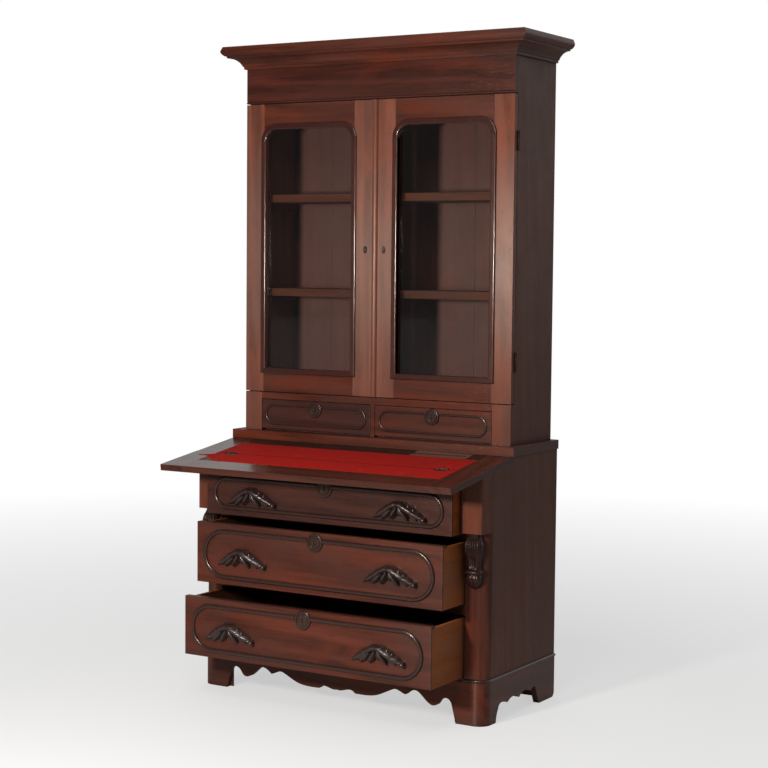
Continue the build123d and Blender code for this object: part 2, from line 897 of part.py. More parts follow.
def door_moulding(side):
    """The bead round the glass: a proud rounded flange, a lip inside the frame, and glazing strips."""
    middle_x = side * glass_middle_x
    with BuildPart() as bead:
        with BuildSketch(front_plane):
            add(arched_window(middle_x, moulding_cover))
        extrude(amount=moulding_proud)
        with BuildSketch(front_plane):
            add(arched_window(middle_x, -0.2))
        extrude(amount=door_face_y - glass_front_y)
        with BuildSketch(front_plane.offset(moulding_proud)):
            add(arched_window(middle_x, -moulding_lip))
        extrude(amount=-30, mode=Mode.SUBTRACT)
        rim = bead.faces().sort_by(Axis.Y)[0]
        fillet(rim.edges(), 4.0)
    # four thin strips hold the glass from behind
    strip_front = glass_front_y + glass_thickness
    strip_back = door_face_y + door_board
    low = glass_middle_z - frame_opening_half_height + 1
    high = glass_middle_z + frame_opening_half_height - 1
    left = middle_x - frame_opening_half_width + 1
    right = middle_x + frame_opening_half_width - 1
    strips = boards(
        (
            ((left, strip_front, low + 8), (left + 8, strip_back, high - opening_round)),
            ((right - 8, strip_front, low + 8), (right, strip_back, high - opening_round)),
            ((left, strip_front, low), (right, strip_back, low + 8)),
            ((left + opening_round, strip_front, high - 8), (right - opening_round, strip_back, high)),
        )
    )
    return [bead.part] + strips


def door_glass(side):
    """One pane, cut to the frame's opening."""
    with BuildPart() as pane:
        with BuildSketch(front_plane.offset(door_face_y - glass_front_y)):
            add(arched_window(side * glass_middle_x, -1))
        extrude(amount=-glass_thickness)
    return pane.part


def butt_leaf(side, hinge_z, on_door):
    """One leaf of a door hinge with its knuckle or knuckles round the pin axis."""
    front = door_face_y + door_board if on_door else case_front_y - door_leaf_board
    spans = ((-11.7, 11.7),) if on_door else ((-door_hinge_half, -12.0), (12.0, door_hinge_half))
    bore = door_pin_radius + pin_clearance if on_door else door_pin_radius + 0.02
    with BuildPart(mode=Mode.PRIVATE) as leaf:
        near, far = side * door_leaf_inner, side * door_outer_x
        board(
            (min(near, far), front, hinge_z - door_hinge_half),
            (max(near, far), front + door_leaf_board, hinge_z + door_hinge_half),
        )
        for low, high in spans:
            near, far = side * door_outer_x, side * door_pin_x
            board(
                (min(near, far), front, hinge_z + low),
                (max(near, far), front + door_leaf_board, hinge_z + high),
            )
            with BuildSketch(Plane.XY.offset(hinge_z + low)):
                with Locations((side * door_pin_x, door_pin_y)):
                    Circle(door_knuckle_radius)
            extrude(amount=high - low)
        with BuildSketch(Plane.XY.offset(hinge_z - door_hinge_half - 1)):
            with Locations((side * door_pin_x, door_pin_y)):
                Circle(bore)
        extrude(amount=2 * door_hinge_half + 2, mode=Mode.SUBTRACT)
    return leaf.part


def keyhole(x, z, size):
    """A keyhole outline: a round bow of the given radius over a narrower slot."""
    with BuildSketch(mode=Mode.PRIVATE) as outline:
        with Locations((x, z + size * 0.9)):
            Circle(size)
        with Locations((x, z - size * 0.6)):
            Rectangle(size * 0.9, size * 3.2)
    return outline.sketch


def door_lock(side, meeting_x, x):
    """A keyhole plate on the front and the lock case screwed to the back of the stile."""
    back = door_face_y + door_board
    near, far = meeting_x + side * 2, meeting_x + side * 52
    with BuildPart() as lock:
        with BuildSketch(front_plane):
            with Locations((x, escutcheon_z)):
                Ellipse(7, 12)
        extrude(amount=1.4)
        with BuildSketch(front_plane.offset(2)):
            add(keyhole(x, escutcheon_z, 2.2))
        extrude(amount=-4, mode=Mode.SUBTRACT)
        board((min(near, far), back, escutcheon_z - 30), (max(near, far), back + 11, escutcheon_z + 30))
    return lock.part


for name, side in (("left", -1), ("right", 1)):
    save_group(door_frame(side, door_edges[name]), f"{name}_door_frame")
    save_group(door_moulding(side), f"{name}_door_moulding")
    save(door_glass(side), f"{name}_door_glass")
    save(door_lock(side, door_edges[name], escutcheon_xs[name]), f"{name}_door_lock")
    with BuildPart() as door_leaves:
        for hinge_z in door_hinge_zs:
            add(butt_leaf(side, hinge_z, True))
    save(door_leaves.part, f"{name}_door_hinge_leaves")

astragal_half = 10.0
astragal_middle = 4.0

with BuildPart() as door_astragal:
    with BuildSketch(Plane.XY.offset(door_bottom)):
        with BuildLine():
            left, right = astragal_middle - astragal_half, astragal_middle + astragal_half
            Line((left, door_face_y), (right, door_face_y))
            Line((right, door_face_y), (right, door_face_y - 2))
            ThreePointArc(
                (right, door_face_y - 2),
                (astragal_middle, door_face_y - 9),
                (left, door_face_y - 2),
            )
            Line((left, door_face_y - 2), (left, door_face_y))
        make_face()
    extrude(amount=door_top - door_bottom)
save(door_astragal.part, "door_astragal")

with BuildPart() as door_hinge_case_leaves:
    for side in sides:
        for hinge_z in door_hinge_zs:
            add(butt_leaf(side, hinge_z, False))
            with BuildSketch(Plane.XY.offset(hinge_z - door_hinge_half)):
                with Locations((side * door_pin_x, door_pin_y)):
                    Circle(door_pin_radius)
            extrude(amount=2 * door_hinge_half)
save(door_hinge_case_leaves.part, "door_hinge_case_leaves")

# ---------------------------------------------------------------------------------------------
# Drawers
# ---------------------------------------------------------------------------------------------


def drawer_box(half, middle_x, face_y, front_thick, low_z, high_z, back, side_thick):
    """Two sides set into the drawer front's ends, a back and a bottom."""
    left, right = middle_x - half, middle_x + half
    front_y = face_y + front_thick
    side_front_y = face_y + front_lap
    inner_left, inner_right = left + side_thick, right - side_thick
    inner_back = back - side_thick
    bottom_z = low_z + 8
    return boards(
        (
            ((left, side_front_y, low_z), (inner_left, back, high_z)),
            ((inner_right, side_front_y, low_z), (right, back, high_z)),
            ((inner_left, inner_back, low_z), (inner_right, back, high_z - 6)),
            ((inner_left, front_y, bottom_z), (inner_right, inner_back, bottom_z + drawer_bottom_board)),
        )
    )


def drawer_front(low, high, box_half, side_thick, side_low_z, side_high_z, rounding):
    """A drawer front, rounded in front and cut away behind its ends for the drawer sides."""
    middle_x = (low[0] + high[0]) / 2
    with BuildPart() as front:
        board(low, high)
        fillet(front.faces().sort_by(Axis.Y)[0].edges(), rounding)
        for side in sides:
            inner_x = middle_x + side * (box_half - side_thick)
            outer_x = middle_x + side * (high[0] - middle_x + 1)
            with Locations(((inner_x + outer_x) / 2, 0, (side_low_z + side_high_z) / 2)):
                with Locations((0, (low[1] + front_lap + high[1] + 1) / 2, 0)):
                    Box(
                        abs(outer_x - inner_x),
                        high[1] + 1 - low[1] - front_lap,
                        side_high_z - side_low_z,
                        mode=Mode.SUBTRACT,
                    )
    return front.part


def oval_moulding(face_y, middle, half_length, half_height, width, proud, ring_z, ring_radius):
    """An oval-ended bead planted on a drawer front, broken where the keyhole ring sits."""
    middle_x, middle_z = middle
    plane = Plane(origin=(middle_x, face_y, middle_z), x_dir=(1, 0, 0), z_dir=(0, -1, 0))
    with BuildPart() as bead:
        with BuildSketch(plane):
            SlotOverall(2 * half_length, 2 * half_height)
            SlotOverall(2 * (half_length - width), 2 * (half_height - width), mode=Mode.SUBTRACT)
        extrude(amount=proud)
        rim = bead.faces().sort_by(Axis.Y)[0]
        fillet(rim.edges(), min(proud, width / 2) * 0.8)
        with BuildSketch(plane):
            with Locations((0, ring_z - middle_z)):
                Circle(ring_radius + 0.3)
        extrude(amount=proud + 2, mode=Mode.SUBTRACT)
    return bead.part


def drawer_lock(face_y, front_thick, middle_x, ring_z, ring_radius, top_z):
    """A turned keyhole ring on the front and the lock case on the back of the drawer front."""
    plane = Plane(origin=(0, face_y, 0), x_dir=(1, 0, 0), z_dir=(0, -1, 0))
    back = face_y + front_thick
    with BuildPart() as lock:
        with BuildSketch(plane):
            with Locations((middle_x, ring_z)):
                Circle(ring_radius)
        extrude(amount=6.5)
        outer_edge = lock.faces().sort_by(Axis.Y)[0].edges()
        fillet(outer_edge, 3.0)
        # two turned steps down to the plate round the keyhole
        with BuildSketch(plane.offset(5.2)):
            with Locations((middle_x, ring_z)):
                Circle(ring_radius * 0.76)
        extrude(amount=5, mode=Mode.SUBTRACT)
        with BuildSketch(plane.offset(2.6)):
            with Locations((middle_x, ring_z)):
                Circle(ring_radius * 0.76)
                Circle(ring_radius * 0.68, mode=Mode.SUBTRACT)
        extrude(amount=5, mode=Mode.SUBTRACT)
        with BuildSketch(plane.offset(3.6)):
            with Locations((middle_x, ring_z)):
                Circle(ring_radius * 0.52)
        extrude(amount=5, mode=Mode.SUBTRACT)
        with BuildSketch(plane.offset(7)):
            add(keyhole(middle_x, ring_z, ring_radius * 0.13))
        extrude(amount=-9, mode=Mode.SUBTRACT)
        board((middle_x - 26, back, top_z - 46), (middle_x + 26, back + 10, top_z - 8))
    return lock.part


pull_middle_x = 284.0
pull_reach = 32.0
pull_top = ((-101, -14), (-66, 6), (-30, 27), (-8, 34), (12, 31), (44, 13), (76, -3), (101, -16))
pull_right_lobe = ((70, -21), (50, -17), (38, -29), (20, -29), (8, -21))
pull_left_lobe = ((-6, -32), (-24, -29), (-36, -18), (-54, -24), (-78, -21))
pull_outline = pull_top + pull_right_lobe + pull_left_lobe


def leaf_pulls(face_y, middle_z):
    """Two carved leaf pulls planted on a drawer front."""
    with BuildPart() as pulls:
        for side in sides:
            plane = Plane(
                origin=(side * pull_middle_x, face_y, middle_z), x_dir=(1, 0, 0), z_dir=(0, -1, 0)
            )
            with BuildSketch(plane):
                with BuildLine():
                    Polyline(*pull_outline, close=True)
                make_face()
            extrude(amount=10)
            ridge = [(x * 0.45, z * 0.4 + 4) for x, z in pull_outline]
            base = [(x * 0.93, z * 0.9) for x, z in pull_outline]
            with BuildSketch(plane.offset(10)):
                with BuildLine():
                    Polyline(*base, close=True)
                make_face()
            with BuildSketch(plane.offset(pull_reach)):
                with BuildLine():
                    Polyline(*ridge, close=True)
                make_face()
            loft(ruled=True)
    return pulls.part


long_moulding_half = 443.0
long_moulding_width = 14.0
long_moulding_margin = 18.0  # from the bead to the drawer front's upper and lower edges
long_moulding_proud = 7.0
ring_radius = 30.0

for name in drawer_names:
    face_y = drawer_shut_faces[name] - drawer_open_by[name]
    low_z, high_z = drawer_bottoms[name], drawer_tops[name]
    middle_z = (low_z + high_z) / 2
    ring_z = high_z - ring_radius - 1
    box_back_y = 330.0 - drawer_open_by[name]
    front = drawer_front(
        (-long_front_half, face_y, low_z),
        (long_front_half, face_y + drawer_front_board, high_z),
        long_box_half,
        drawer_side_board,
        low_z,
        high_z - 7,
        1.2,
    )
    save(front, f"{name}_drawer_front")
    box = drawer_box(
        long_box_half,
        0,
        face_y,
        drawer_front_board,
        low_z,
        high_z - 7,
        box_back_y,
        drawer_side_board,
    )
    save_group(box, f"{name}_drawer_box")
    bead = oval_moulding(
        face_y,
        (0, middle_z),
        long_moulding_half,
        (high_z - low_z) / 2 - long_moulding_margin,
        long_moulding_width,
        long_moulding_proud,
        ring_z,
        ring_radius,
    )
    save(bead, f"{name}_drawer_moulding")
    save(leaf_pulls(face_y, middle_z - 4), f"{name}_drawer_pulls")
    lock = drawer_lock(face_y, drawer_front_board, 0, ring_z, ring_radius, high_z)
    save(lock, f"{name}_drawer_lock")

small_front_board = 18.0
small_low = 874.0
small_high = 975.0
small_half = 220.5
small_middle_x = 230.0
small_ring_radius = 27.0
small_box_top = 968.0
small_side_board = 10.0
small_box_back = 330.0

for name, side in (("left", -1), ("right", 1)):
    middle_x = side * small_middle_x
    ring_z = small_high - small_ring_radius - 0.5
    # the box runs over the case bottom, so it starts higher than the front
    front = drawer_front(
        (middle_x - small_half, door_face_y, small_low),
        (middle_x + small_half, door_face_y + small_front_board, small_high),
        small_half - 1.5,
        small_side_board,
        case_bottom_top + 1,
        small_box_top,
        1.0,
    )
    save(front, f"{name}_small_drawer_front")
    box = drawer_box(
        small_half - 1.5,
        middle_x,
        door_face_y,
        small_front_board,
        case_bottom_top + 1,
        small_box_top,
        small_box_back,
        small_side_board,
    )
    save_group(box, f"{name}_small_drawer_box")
    bead = oval_moulding(
        door_face_y,
        (middle_x, (small_low + small_high) / 2),
        206.0,
        36.0,
        8.0,
        4.5,
        ring_z,
        small_ring_radius,
    )
    save(bead, f"{name}_small_drawer_moulding")
    lock = drawer_lock(
        door_face_y, small_front_board, middle_x, ring_z, small_ring_radius, small_high
    )
    save(lock, f"{name}_small_drawer_lock")
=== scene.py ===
"""The looks of the secretary desk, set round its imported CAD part.

Procedural wood, metal, felt and glass on the CAD nodes; carved pulls, carved corbels and cut felts
in place of their plain stand-ins; the camera, lamps, floor and surroundings. Metres, Z up, and the
desk's front faces -Y.
"""

from math import atan2, cos, exp, pi, sin, sqrt

import bmesh
import bpy
from mathutils import Matrix, Vector


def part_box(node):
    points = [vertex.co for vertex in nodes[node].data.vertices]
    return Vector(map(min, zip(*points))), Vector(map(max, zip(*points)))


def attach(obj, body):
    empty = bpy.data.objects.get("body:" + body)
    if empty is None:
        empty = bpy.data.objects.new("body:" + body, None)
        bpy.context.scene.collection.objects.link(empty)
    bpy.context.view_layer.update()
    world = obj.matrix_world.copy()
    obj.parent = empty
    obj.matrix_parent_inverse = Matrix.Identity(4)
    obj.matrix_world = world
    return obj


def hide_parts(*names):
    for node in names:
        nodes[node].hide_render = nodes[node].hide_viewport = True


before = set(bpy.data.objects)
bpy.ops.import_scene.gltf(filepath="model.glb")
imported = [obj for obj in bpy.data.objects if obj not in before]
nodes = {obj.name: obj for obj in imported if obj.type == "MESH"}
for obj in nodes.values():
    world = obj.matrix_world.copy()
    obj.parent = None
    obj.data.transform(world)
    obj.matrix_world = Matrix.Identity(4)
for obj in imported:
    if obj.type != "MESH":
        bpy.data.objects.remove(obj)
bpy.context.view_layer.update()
scene = bpy.context.scene
SIDES = (-1, 1)
LONG_DRAWERS = ("upper", "middle", "lower")
SMALL_DRAWERS = ("left_small", "right_small")

# distances from the desk's middle
FELT_HALF = 0.4598
END_BOARD_FROM = 0.4599  # the writing surface's end boards begin here
PULL_X = 0.284
CORBEL_X = 0.509
HINGE_X = 0.405
DOOR_X = 0.2635
DOOR_RAIL_HALF = 0.1834  # half the length of a door's rails, between its stiles
PLINTH_SIDE_FROM = 0.528
SURROUND_STILE_FROM = 0.453
CASE_HALF, CASE_FRONT_Y = 0.52, 0.075  # the bookcase under the cornice

# the writing surface's slope, the line where it folds, and its directions
SLOPE_RISE, SLOPE_RUN = 0.057, 0.407
SLOPE = atan2(SLOPE_RISE, SLOPE_RUN)
FOLD_Y, FOLD_TO_DECK, DECK_UNDERSIDE = -0.1665, 0.2045, 0.838
FOLD = Vector((0, FOLD_Y, DECK_UNDERSIDE - FOLD_TO_DECK * SLOPE_RISE / SLOPE_RUN))
UP_SLOPE = Vector((0, cos(SLOPE), sin(SLOPE)))
OFF_SLOPE = Vector((0, -sin(SLOPE), cos(SLOPE)))
BACK_RAIL_FROM_Y = FOLD.y + 0.141

# ------------------------------------------------------------------------------------- camera

CAMERA_AT = (3.132, -5.032, 1.456)
YAW, PITCH, ROLL = -0.5438, -0.0682, 0.0091
LENS, SENSOR_WIDTH = 83.98, 36

ahead = Vector((sin(YAW) * cos(PITCH), cos(YAW) * cos(PITCH), sin(PITCH)))
level = Vector((cos(YAW), -sin(YAW), 0))
upright = level.cross(ahead)
right = cos(ROLL) * level + sin(ROLL) * upright
up = cos(ROLL) * upright - sin(ROLL) * level

camera = bpy.data.objects.new("camera", bpy.data.cameras.new("camera"))
camera.data.lens = LENS
camera.data.sensor_width = SENSOR_WIDTH
turn = Matrix((right, up, -ahead)).transposed().to_4x4()
camera.matrix_world = Matrix.Translation(CAMERA_AT) @ turn
scene.collection.objects.link(camera)
scene.camera = camera

# -------------------------------------------------------------------------------------- lamps

scene.view_settings.view_transform = "Standard"


def area_light(name, place, target, size, watts, colour=(1, 1, 1)):
    """A square lamp that faces a target."""
    lamp = bpy.data.lights.new(name, "AREA")
    lamp.size = size
    lamp.energy = watts
    lamp.color = colour
    thing = bpy.data.objects.new(name, lamp)
    thing.location = place
    aim = Vector(target) - Vector(place)
    thing.rotation_euler = aim.to_track_quat("-Z", "Y").to_euler()
    scene.collection.objects.link(thing)


# the small lamp gives the doors' long highlights, and the other two fill in softly
area_light("key_light", (0.0, -2.99, 1.47), (0, 0, 1.1), 0.30, 76, (1.0, 0.97, 0.93))
area_light("soft_front", (0.9, -2.6, 3.3), (0, -0.2, 0.9), 1.2, 24, (1.0, 0.97, 0.94))
area_light("top_light", (0.4, -0.6, 4.6), (0, 0, 0), 3.0, 15)

# --------------------------------------------------------------------------- node-tree helpers


def fill(tree, socket, value):
    """Link a socket to the one given, or set its own value."""
    if isinstance(value, bpy.types.NodeSocket):
        tree.links.new(value, socket)
    else:
        socket.default_value = value


def put(tree, node, **values):
    """Fill a node's inputs by name, written with _ for a space."""
    for name, value in values.items():
        fill(tree, node.inputs[name.replace("_", " ")], value)


def add(tree, kind, *values, **settings):
    """A shader node. Values fill its inputs in order, and None leaves an input alone."""
    node = tree.nodes.new(kind)
    for key, value in settings.items():
        setattr(node, key, value)
    for socket, value in zip(node.inputs, values):
        if value is not None:
            fill(tree, socket, value)
    return node


def calc(tree, operation, a, b=None, c=None):
    return add(tree, "ShaderNodeMath", a, b, c, operation=operation).outputs[0]


def times(tree, a, b):
    return calc(tree, "MULTIPLY", a, b)


def times_plus(tree, a, b, c):
    """a * b + c"""
    return calc(tree, "MULTIPLY_ADD", a, b, c)


def vector_calc(tree, operation, a, b=None):
    return add(tree, "ShaderNodeVectorMath", a, b, operation=operation).outputs


def blend(tree, share, a, b):
    """Colour a where share is 0 and colour b where it is 1."""
    node = add(tree, "ShaderNodeMix", share, data_type="RGBA")
    fill(tree, node.inputs[6], a)
    fill(tree, node.inputs[7], b)
    return node.outputs[2]


def stops(tree, value, *points):
    """A colour ramp through (position, colour) points."""
    node = add(tree, "ShaderNodeValToRGB", value)
    ramp = node.color_ramp
    while len(ramp.elements) < len(points):
        ramp.elements.new(0.5)
    for element, (position, colour) in zip(ramp.elements, points):
        element.position = position
        element.color = colour
    return node.outputs[0]


def grey(value):
    return (value, value, value, 1)


def rise(tree, value, low, high, top=1.0):
    """0 where the value is under low, up to top where it is over high."""
    return stops(tree, value, (low, grey(0.0)), (high, grey(top)))


def fall(tree, value, low, high, top=1.0):
    """top where the value is under low, down to 0 where it is over high."""
    return stops(tree, value, (low, grey(top)), (high, grey(0.0)))


def scaled(tree, place, scale):
    return add(tree, "ShaderNodeMapping", place, None, None, tuple(scale)).outputs[0]


def fractal(tree, place, scale, detail=4, rough=0.55, warp=0.0):
    """Cloudy noise whose middle value is 0.5."""
    node = add(tree, "ShaderNodeTexNoise", place)
    put(tree, node, Scale=scale, Detail=detail, Roughness=rough, Distortion=warp)
    return node.outputs[0]


def waves(tree, place, scale, distortion, detail, detail_scale, **kind):
    """Wavy bands, or rings, from 0 to 1."""
    values = (scale, distortion, detail, detail_scale, 0.6)
    return add(tree, "ShaderNodeTexWave", place, *values, **kind).outputs[1]


def relief(tree, height, strength, distance, normal=None):
    """A normal bent by relief too fine for the mesh."""
    node = add(tree, "ShaderNodeBump")
    put(tree, node, Height=height, Strength=strength, Distance=distance)
    if normal is not None:
        put(tree, node, Normal=normal)
    return node.outputs[0]


def new_material(name):
    """A material, its node tree, its shader, and the object coordinates in metres."""
    material = bpy.data.materials.new(name)
    material.use_nodes = True
    tree = material.node_tree
    place = add(tree, "ShaderNodeTexCoord").outputs["Object"]
    return material, tree, tree.nodes["Principled BSDF"], place


def show(tree, shader):
    """Send a shader to the material's output."""
    output = next(node for node in tree.nodes if node.type == "OUTPUT_MATERIAL")
    tree.links.new(shader.outputs[0], output.inputs[0])


def srgb(*channels):
    """Linear colour from a 0-255 screen colour."""
    shares = [channel / 255 for channel in channels]
    return (*(v / 12.92 if v <= 0.04045 else ((v + 0.055) / 1.055) ** 2.4 for v in shares), 1)


def tinted(colour, *factors):
    """A colour with its channels multiplied, by one factor or by one each."""
    if len(factors) == 1:
        factors *= 3
    return (*(v * factor for v, factor in zip(colour, factors)), 1)


# --------------------------------------------------------------------------------------- wood

AXES = {"x": 0, "y": 1, "z": 2}
looks = {}


def paled_with_shaded_ends(tree, place, tone, body, low, high):
    """Pale wood between two values of X, with a painted shadow at each end."""
    per_metre = 20.0
    x = add(tree, "ShaderNodeSeparateXYZ", place).outputs[0]
    off_middle = calc(tree, "ABSOLUTE", calc(tree, "ADD", x, -(low + high) / 2))
    inward = times_plus(tree, off_middle, -per_metre, per_metre * (high - low) / 2 + 0.5)
    pale = stops(tree, tone, (0.40, srgb(88, 62, 52)), (0.56, srgb(122, 92, 80)))
    # painted shadow: a dark gap at each end of the pale stretch
    body = blend(tree, rise(tree, inward, 0.30, 0.36), body, srgb(20, 9, 7))
    return blend(tree, rise(tree, inward, 0.49, 0.54), body, pale)


def wood(
    name,
    colour,
    along,
    roughness,
    coat=0.0,
    figure=1.0,
    wear=0.5,
    bump=1.0,
    dirt=0.4,
    pores=1.0,
    fibre=0.8,
    specular=0.5,
    bare=None,
):
    """Wood whose grain runs along one axis, with pores, figure, grime and painted shade in its
    corners, and paler, duller edges.

    figure is the contrast of the growth bands, wear the paleness of rubbed edges, and fibre how far
    the grain draws out a reflection. bare = (low, high) is a stretch of X where the wood is pale,
    with a painted shadow at each end.
    """
    material, tree, bsdf, place = new_material(name)
    stretch = [1.0, 1.0, 1.0]
    stretch[AXES[along]] = 0.06
    grain_place = scaled(tree, place, stretch)
    wander = fractal(tree, grain_place, 11, 4, 0.55, 0.4)
    bands = waves(tree, grain_place, 9.0, 9.0, 4.0, 1.1, bands_direction="DIAGONAL")
    streaks = fractal(tree, grain_place, 95, 5, 0.62, 0.3)
    fibres = fractal(tree, grain_place, 520, 3, 0.6)
    # growth bands and streaks
    tone = times_plus(tree, bands, 0.16, times(tree, wander, 0.46))
    tone = times_plus(tree, streaks, 0.38, tone)
    spread = 0.5 * figure
    body = stops(
        tree,
        tone,
        (0.40, tinted(colour, 1 - 0.80 * spread)),
        (0.48, tinted(colour, 1 - 0.12 * spread)),
        (0.54, tinted(colour, 1 + 0.30 * spread)),
        (0.62, tinted(colour, 1 + 0.95 * spread)),
    )
    # redder heartwood in places
    patch_place = scaled(tree, place, [0.35 + 0.65 * v for v in stretch])
    heart = rise(tree, fractal(tree, patch_place, 8.0, 4, 0.6, 0.6), 0.50, 0.64)
    heart = times(tree, heart, min(1.0, 0.75 * figure))
    body = blend(tree, heart, body, tinted(colour, 1.45, 1.05, 0.68))
    # polish gone dull and brown in large soft patches
    brightness = 0.30 * colour[0] + 0.59 * colour[1] + 0.11 * colour[2]
    greyed = (0.38 * brightness * t for t in (1.15, 0.98, 0.92))
    dull = (*(0.62 * c + g for c, g in zip(colour, greyed)), 1)
    patches = fall(tree, fractal(tree, patch_place, 5.2, 4, 0.55, 0.5), 0.36, 0.60)
    body = blend(tree, times(tree, patches, min(1.0, 1.6 * dirt)), body, dull)
    if bare:
        body = paled_with_shaded_ends(tree, place, tone, body, *bare)
    # open pores, as short dark flecks
    pore = fall(tree, fibres, 0.30, 0.42)
    body = blend(tree, times(tree, pore, 0.55 * pores), body, tinted(colour, 0.28))
    # painted shade with some grime: darker in corners and against mouldings, where the occlusion
    # test finds little open space
    open_sky = add(tree, "ShaderNodeAmbientOcclusion", samples=6)
    put(tree, open_sky, Distance=0.022)
    corner = fall(tree, open_sky.outputs[1], 0.45, 0.93)
    smudge = fractal(tree, place, 24, 4, 0.6)
    corner = times(tree, corner, times_plus(tree, smudge, 0.8, 0.35))
    body = blend(tree, times(tree, corner, min(1.0, 1.5 * dirt)), body, tinted(dull, 0.42))
    # edges, paler where rubbed
    rounding = add(tree, "ShaderNodeBevel", samples=4)
    put(tree, rounding, Radius=0.0016)
    rounded = rounding.outputs[0]
    flat = add(tree, "ShaderNodeNewGeometry").outputs["Normal"]
    edge = fall(tree, vector_calc(tree, "DOT_PRODUCT", rounded, flat)["Value"], 0.80, 0.985)
    rub = rise(tree, fractal(tree, place, 38, 4, 0.65), 0.42, 0.62)
    edge = times(tree, times(tree, edge, rub), wear)
    body = blend(tree, edge, body, tinted(colour, 2.1))
    # roughness follows handling, pores, wear, and the corners of grime and painted shade
    rough = times_plus(tree, fractal(tree, place, 11, 5, 0.7), 0.22, roughness - 0.11)
    rough = times_plus(tree, pore, 0.14, rough)
    rough = times_plus(tree, edge, 0.15, rough)
    rough = times_plus(tree, corner, 0.2, rough)
    # fibres spread a reflection across the grain
    grain = [0.0, 0.0, 0.0]
    grain[AXES[along]] = 1.0
    across = vector_calc(tree, "CROSS_PRODUCT", flat, tuple(grain))[0]
    # pores sunk, streaks raised, and the board a little uneven
    height = times_plus(tree, pore, -0.7, times(tree, streaks, 0.6))
    height = times_plus(tree, fractal(tree, place, 6, 2, 0.5), 1.6, height)
    put(
        tree,
        bsdf,
        Base_Color=body,
        Roughness=rough,
        Normal=relief(tree, height, 0.30 * bump, 0.0006, rounded),
        Tangent=across,
        Anisotropic=fibre,
        Coat_Weight=coat,
        Coat_Roughness=max(0.12, roughness * 0.6),
        Specular_IOR_Level=specular,
        Specular_Tint=(1.0, 0.84, 0.72, 1),
    )
    return material


def end_grain(name, colour, roughness):
    """Sawn or planed board ends: darker, with fine concentric rings."""
    material, tree, bsdf, place = new_material(name)
    rings = waves(tree, place, 42.0, 5.0, 3.0, 1.2, wave_type="RINGS")
    specks = fractal(tree, place, 600, 3, 0.6)
    tone = times_plus(tree, rings, 0.5, times(tree, specks, 0.5))
    put(
        tree,
        bsdf,
        Base_Color=stops(tree, tone, (0.25, tinted(colour, 0.5)), (0.75, tinted(colour, 1.05))),
        Roughness=times_plus(tree, specks, 0.25, roughness - 0.1),
        Normal=relief(tree, tone, 0.3, 0.0004),
    )
    return material


def wood_set(name, colour, axes, roughness, **finish):
    """One wood with its grain along each of the axes, as the looks NAME_AXIS."""
    for axis in axes:
        looks[f"{name}_{axis}"] = wood(f"{name}_{axis}", colour, axis, roughness, **finish)


WALNUT = srgb(84, 39, 27)
POLISHED = dict(coat=0.15, figure=0.9, wear=0.6, bump=0.12, dirt=0.15, pores=0.4, fibre=0.2)
TURNED = dict(coat=0.5, figure=0.5, wear=0.3, bump=0.4, dirt=0.3, pores=0.5, fibre=0.2)
GLOSSY = dict(coat=0.7, figure=0.3, wear=0.15, bump=0.3, dirt=0.15, pores=0.3, fibre=0.2)
CARVED = dict(figure=0.5, bump=0.3, dirt=0.5, pores=0.3, fibre=0.1)
RAIL = dict(figure=0.6, wear=0.3, bump=0.2, dirt=0.2, pores=0.4, fibre=0.2, bare=(0.20, 0.41))
SAWN = dict(figure=0.6, wear=0.3, bump=1.5, dirt=0.6, pores=0.5)
WORN_EDGE = dict(figure=0.6, wear=0.2, bump=1.2, pores=0.6)
BARE_BOX = dict(figure=0.5, bump=1.2, pores=0.6, specular=0.15)

wood_set("walnut", WALNUT, "xyz", 0.40)
wood_set("top_walnut", srgb(68, 32, 23), "xy", 0.22, **POLISHED)
# paler, greyer walnut for the side panels: partly their own tone, partly the room's light and grey
# reflection on them painted in
wood_set("side_walnut", srgb(102, 64, 54), "z", 0.46, figure=0.45, wear=0.4, bump=0.9, dirt=0.5)
# brighter, warmer walnut for upright parts: partly their own tone, partly the sheen they catch
# painted in
wood_set("lit_stile", srgb(106, 55, 39), "z", 0.38, figure=0.9, dirt=0.35)
wood_set("frieze", srgb(73, 33, 25), "x", 0.40)
# darker, greyer walnut for the upper and left small drawer fronts; on the upper drawer it is the
# open lid's shade painted in
wood_set("dull", srgb(66, 36, 31), "x", 0.38, figure=0.8)
# the writing surface's back rail, painted dark as shade under the deck's moulding
wood_set("shaded_rail", srgb(44, 20, 15), "x", 0.36, **RAIL)
wood_set("glued", srgb(112, 72, 54), "x", 0.75, figure=1.2, wear=0.3, bump=2.5, dirt=0.6, fibre=0.2)
wood_set("bead", srgb(52, 29, 24), "xy", 0.28, **TURNED)
wood_set("frame_bead", srgb(58, 28, 23), "x", 0.22, **GLOSSY)
wood_set("frame_bead", srgb(66, 33, 27), "z", 0.22, **GLOSSY)
wood_set("ebonised", srgb(42, 19, 17), "z", 0.30, wear=0.4, **CARVED)
looks["ebonised"] = wood("ebonised", srgb(43, 23, 20), "x", 0.46, coat=1.0, wear=0.6, **CARVED)
wood_set("back", srgb(91, 47, 43), "z", 0.55, figure=0.22, wear=0.3, bump=0.8, dirt=0.3, pores=0.3)
wood_set("pine", srgb(108, 66, 58), "xyz", 0.62, **SAWN)
looks["tan_edge"] = wood("tan_edge", srgb(88, 50, 36), "x", 0.6, **WORN_EDGE)
wood_set("poplar", srgb(158, 84, 26), "xy", 0.6, wear=0.25, dirt=0.5, **BARE_BOX)
# the drawer boxes' interiors, much darker than their outsides: partly age, partly painted shade
wood_set("aged_shaded_inside", srgb(84, 52, 34), "xy", 0.66, wear=0.2, dirt=0.6, **BARE_BOX)
looks["walnut_end"] = end_grain("walnut_end", WALNUT, 0.5)
looks["poplar_end"] = end_grain("poplar_end", srgb(134, 92, 52), 0.7)

# ----------------------------------------------------------------------- metal, felt and glass


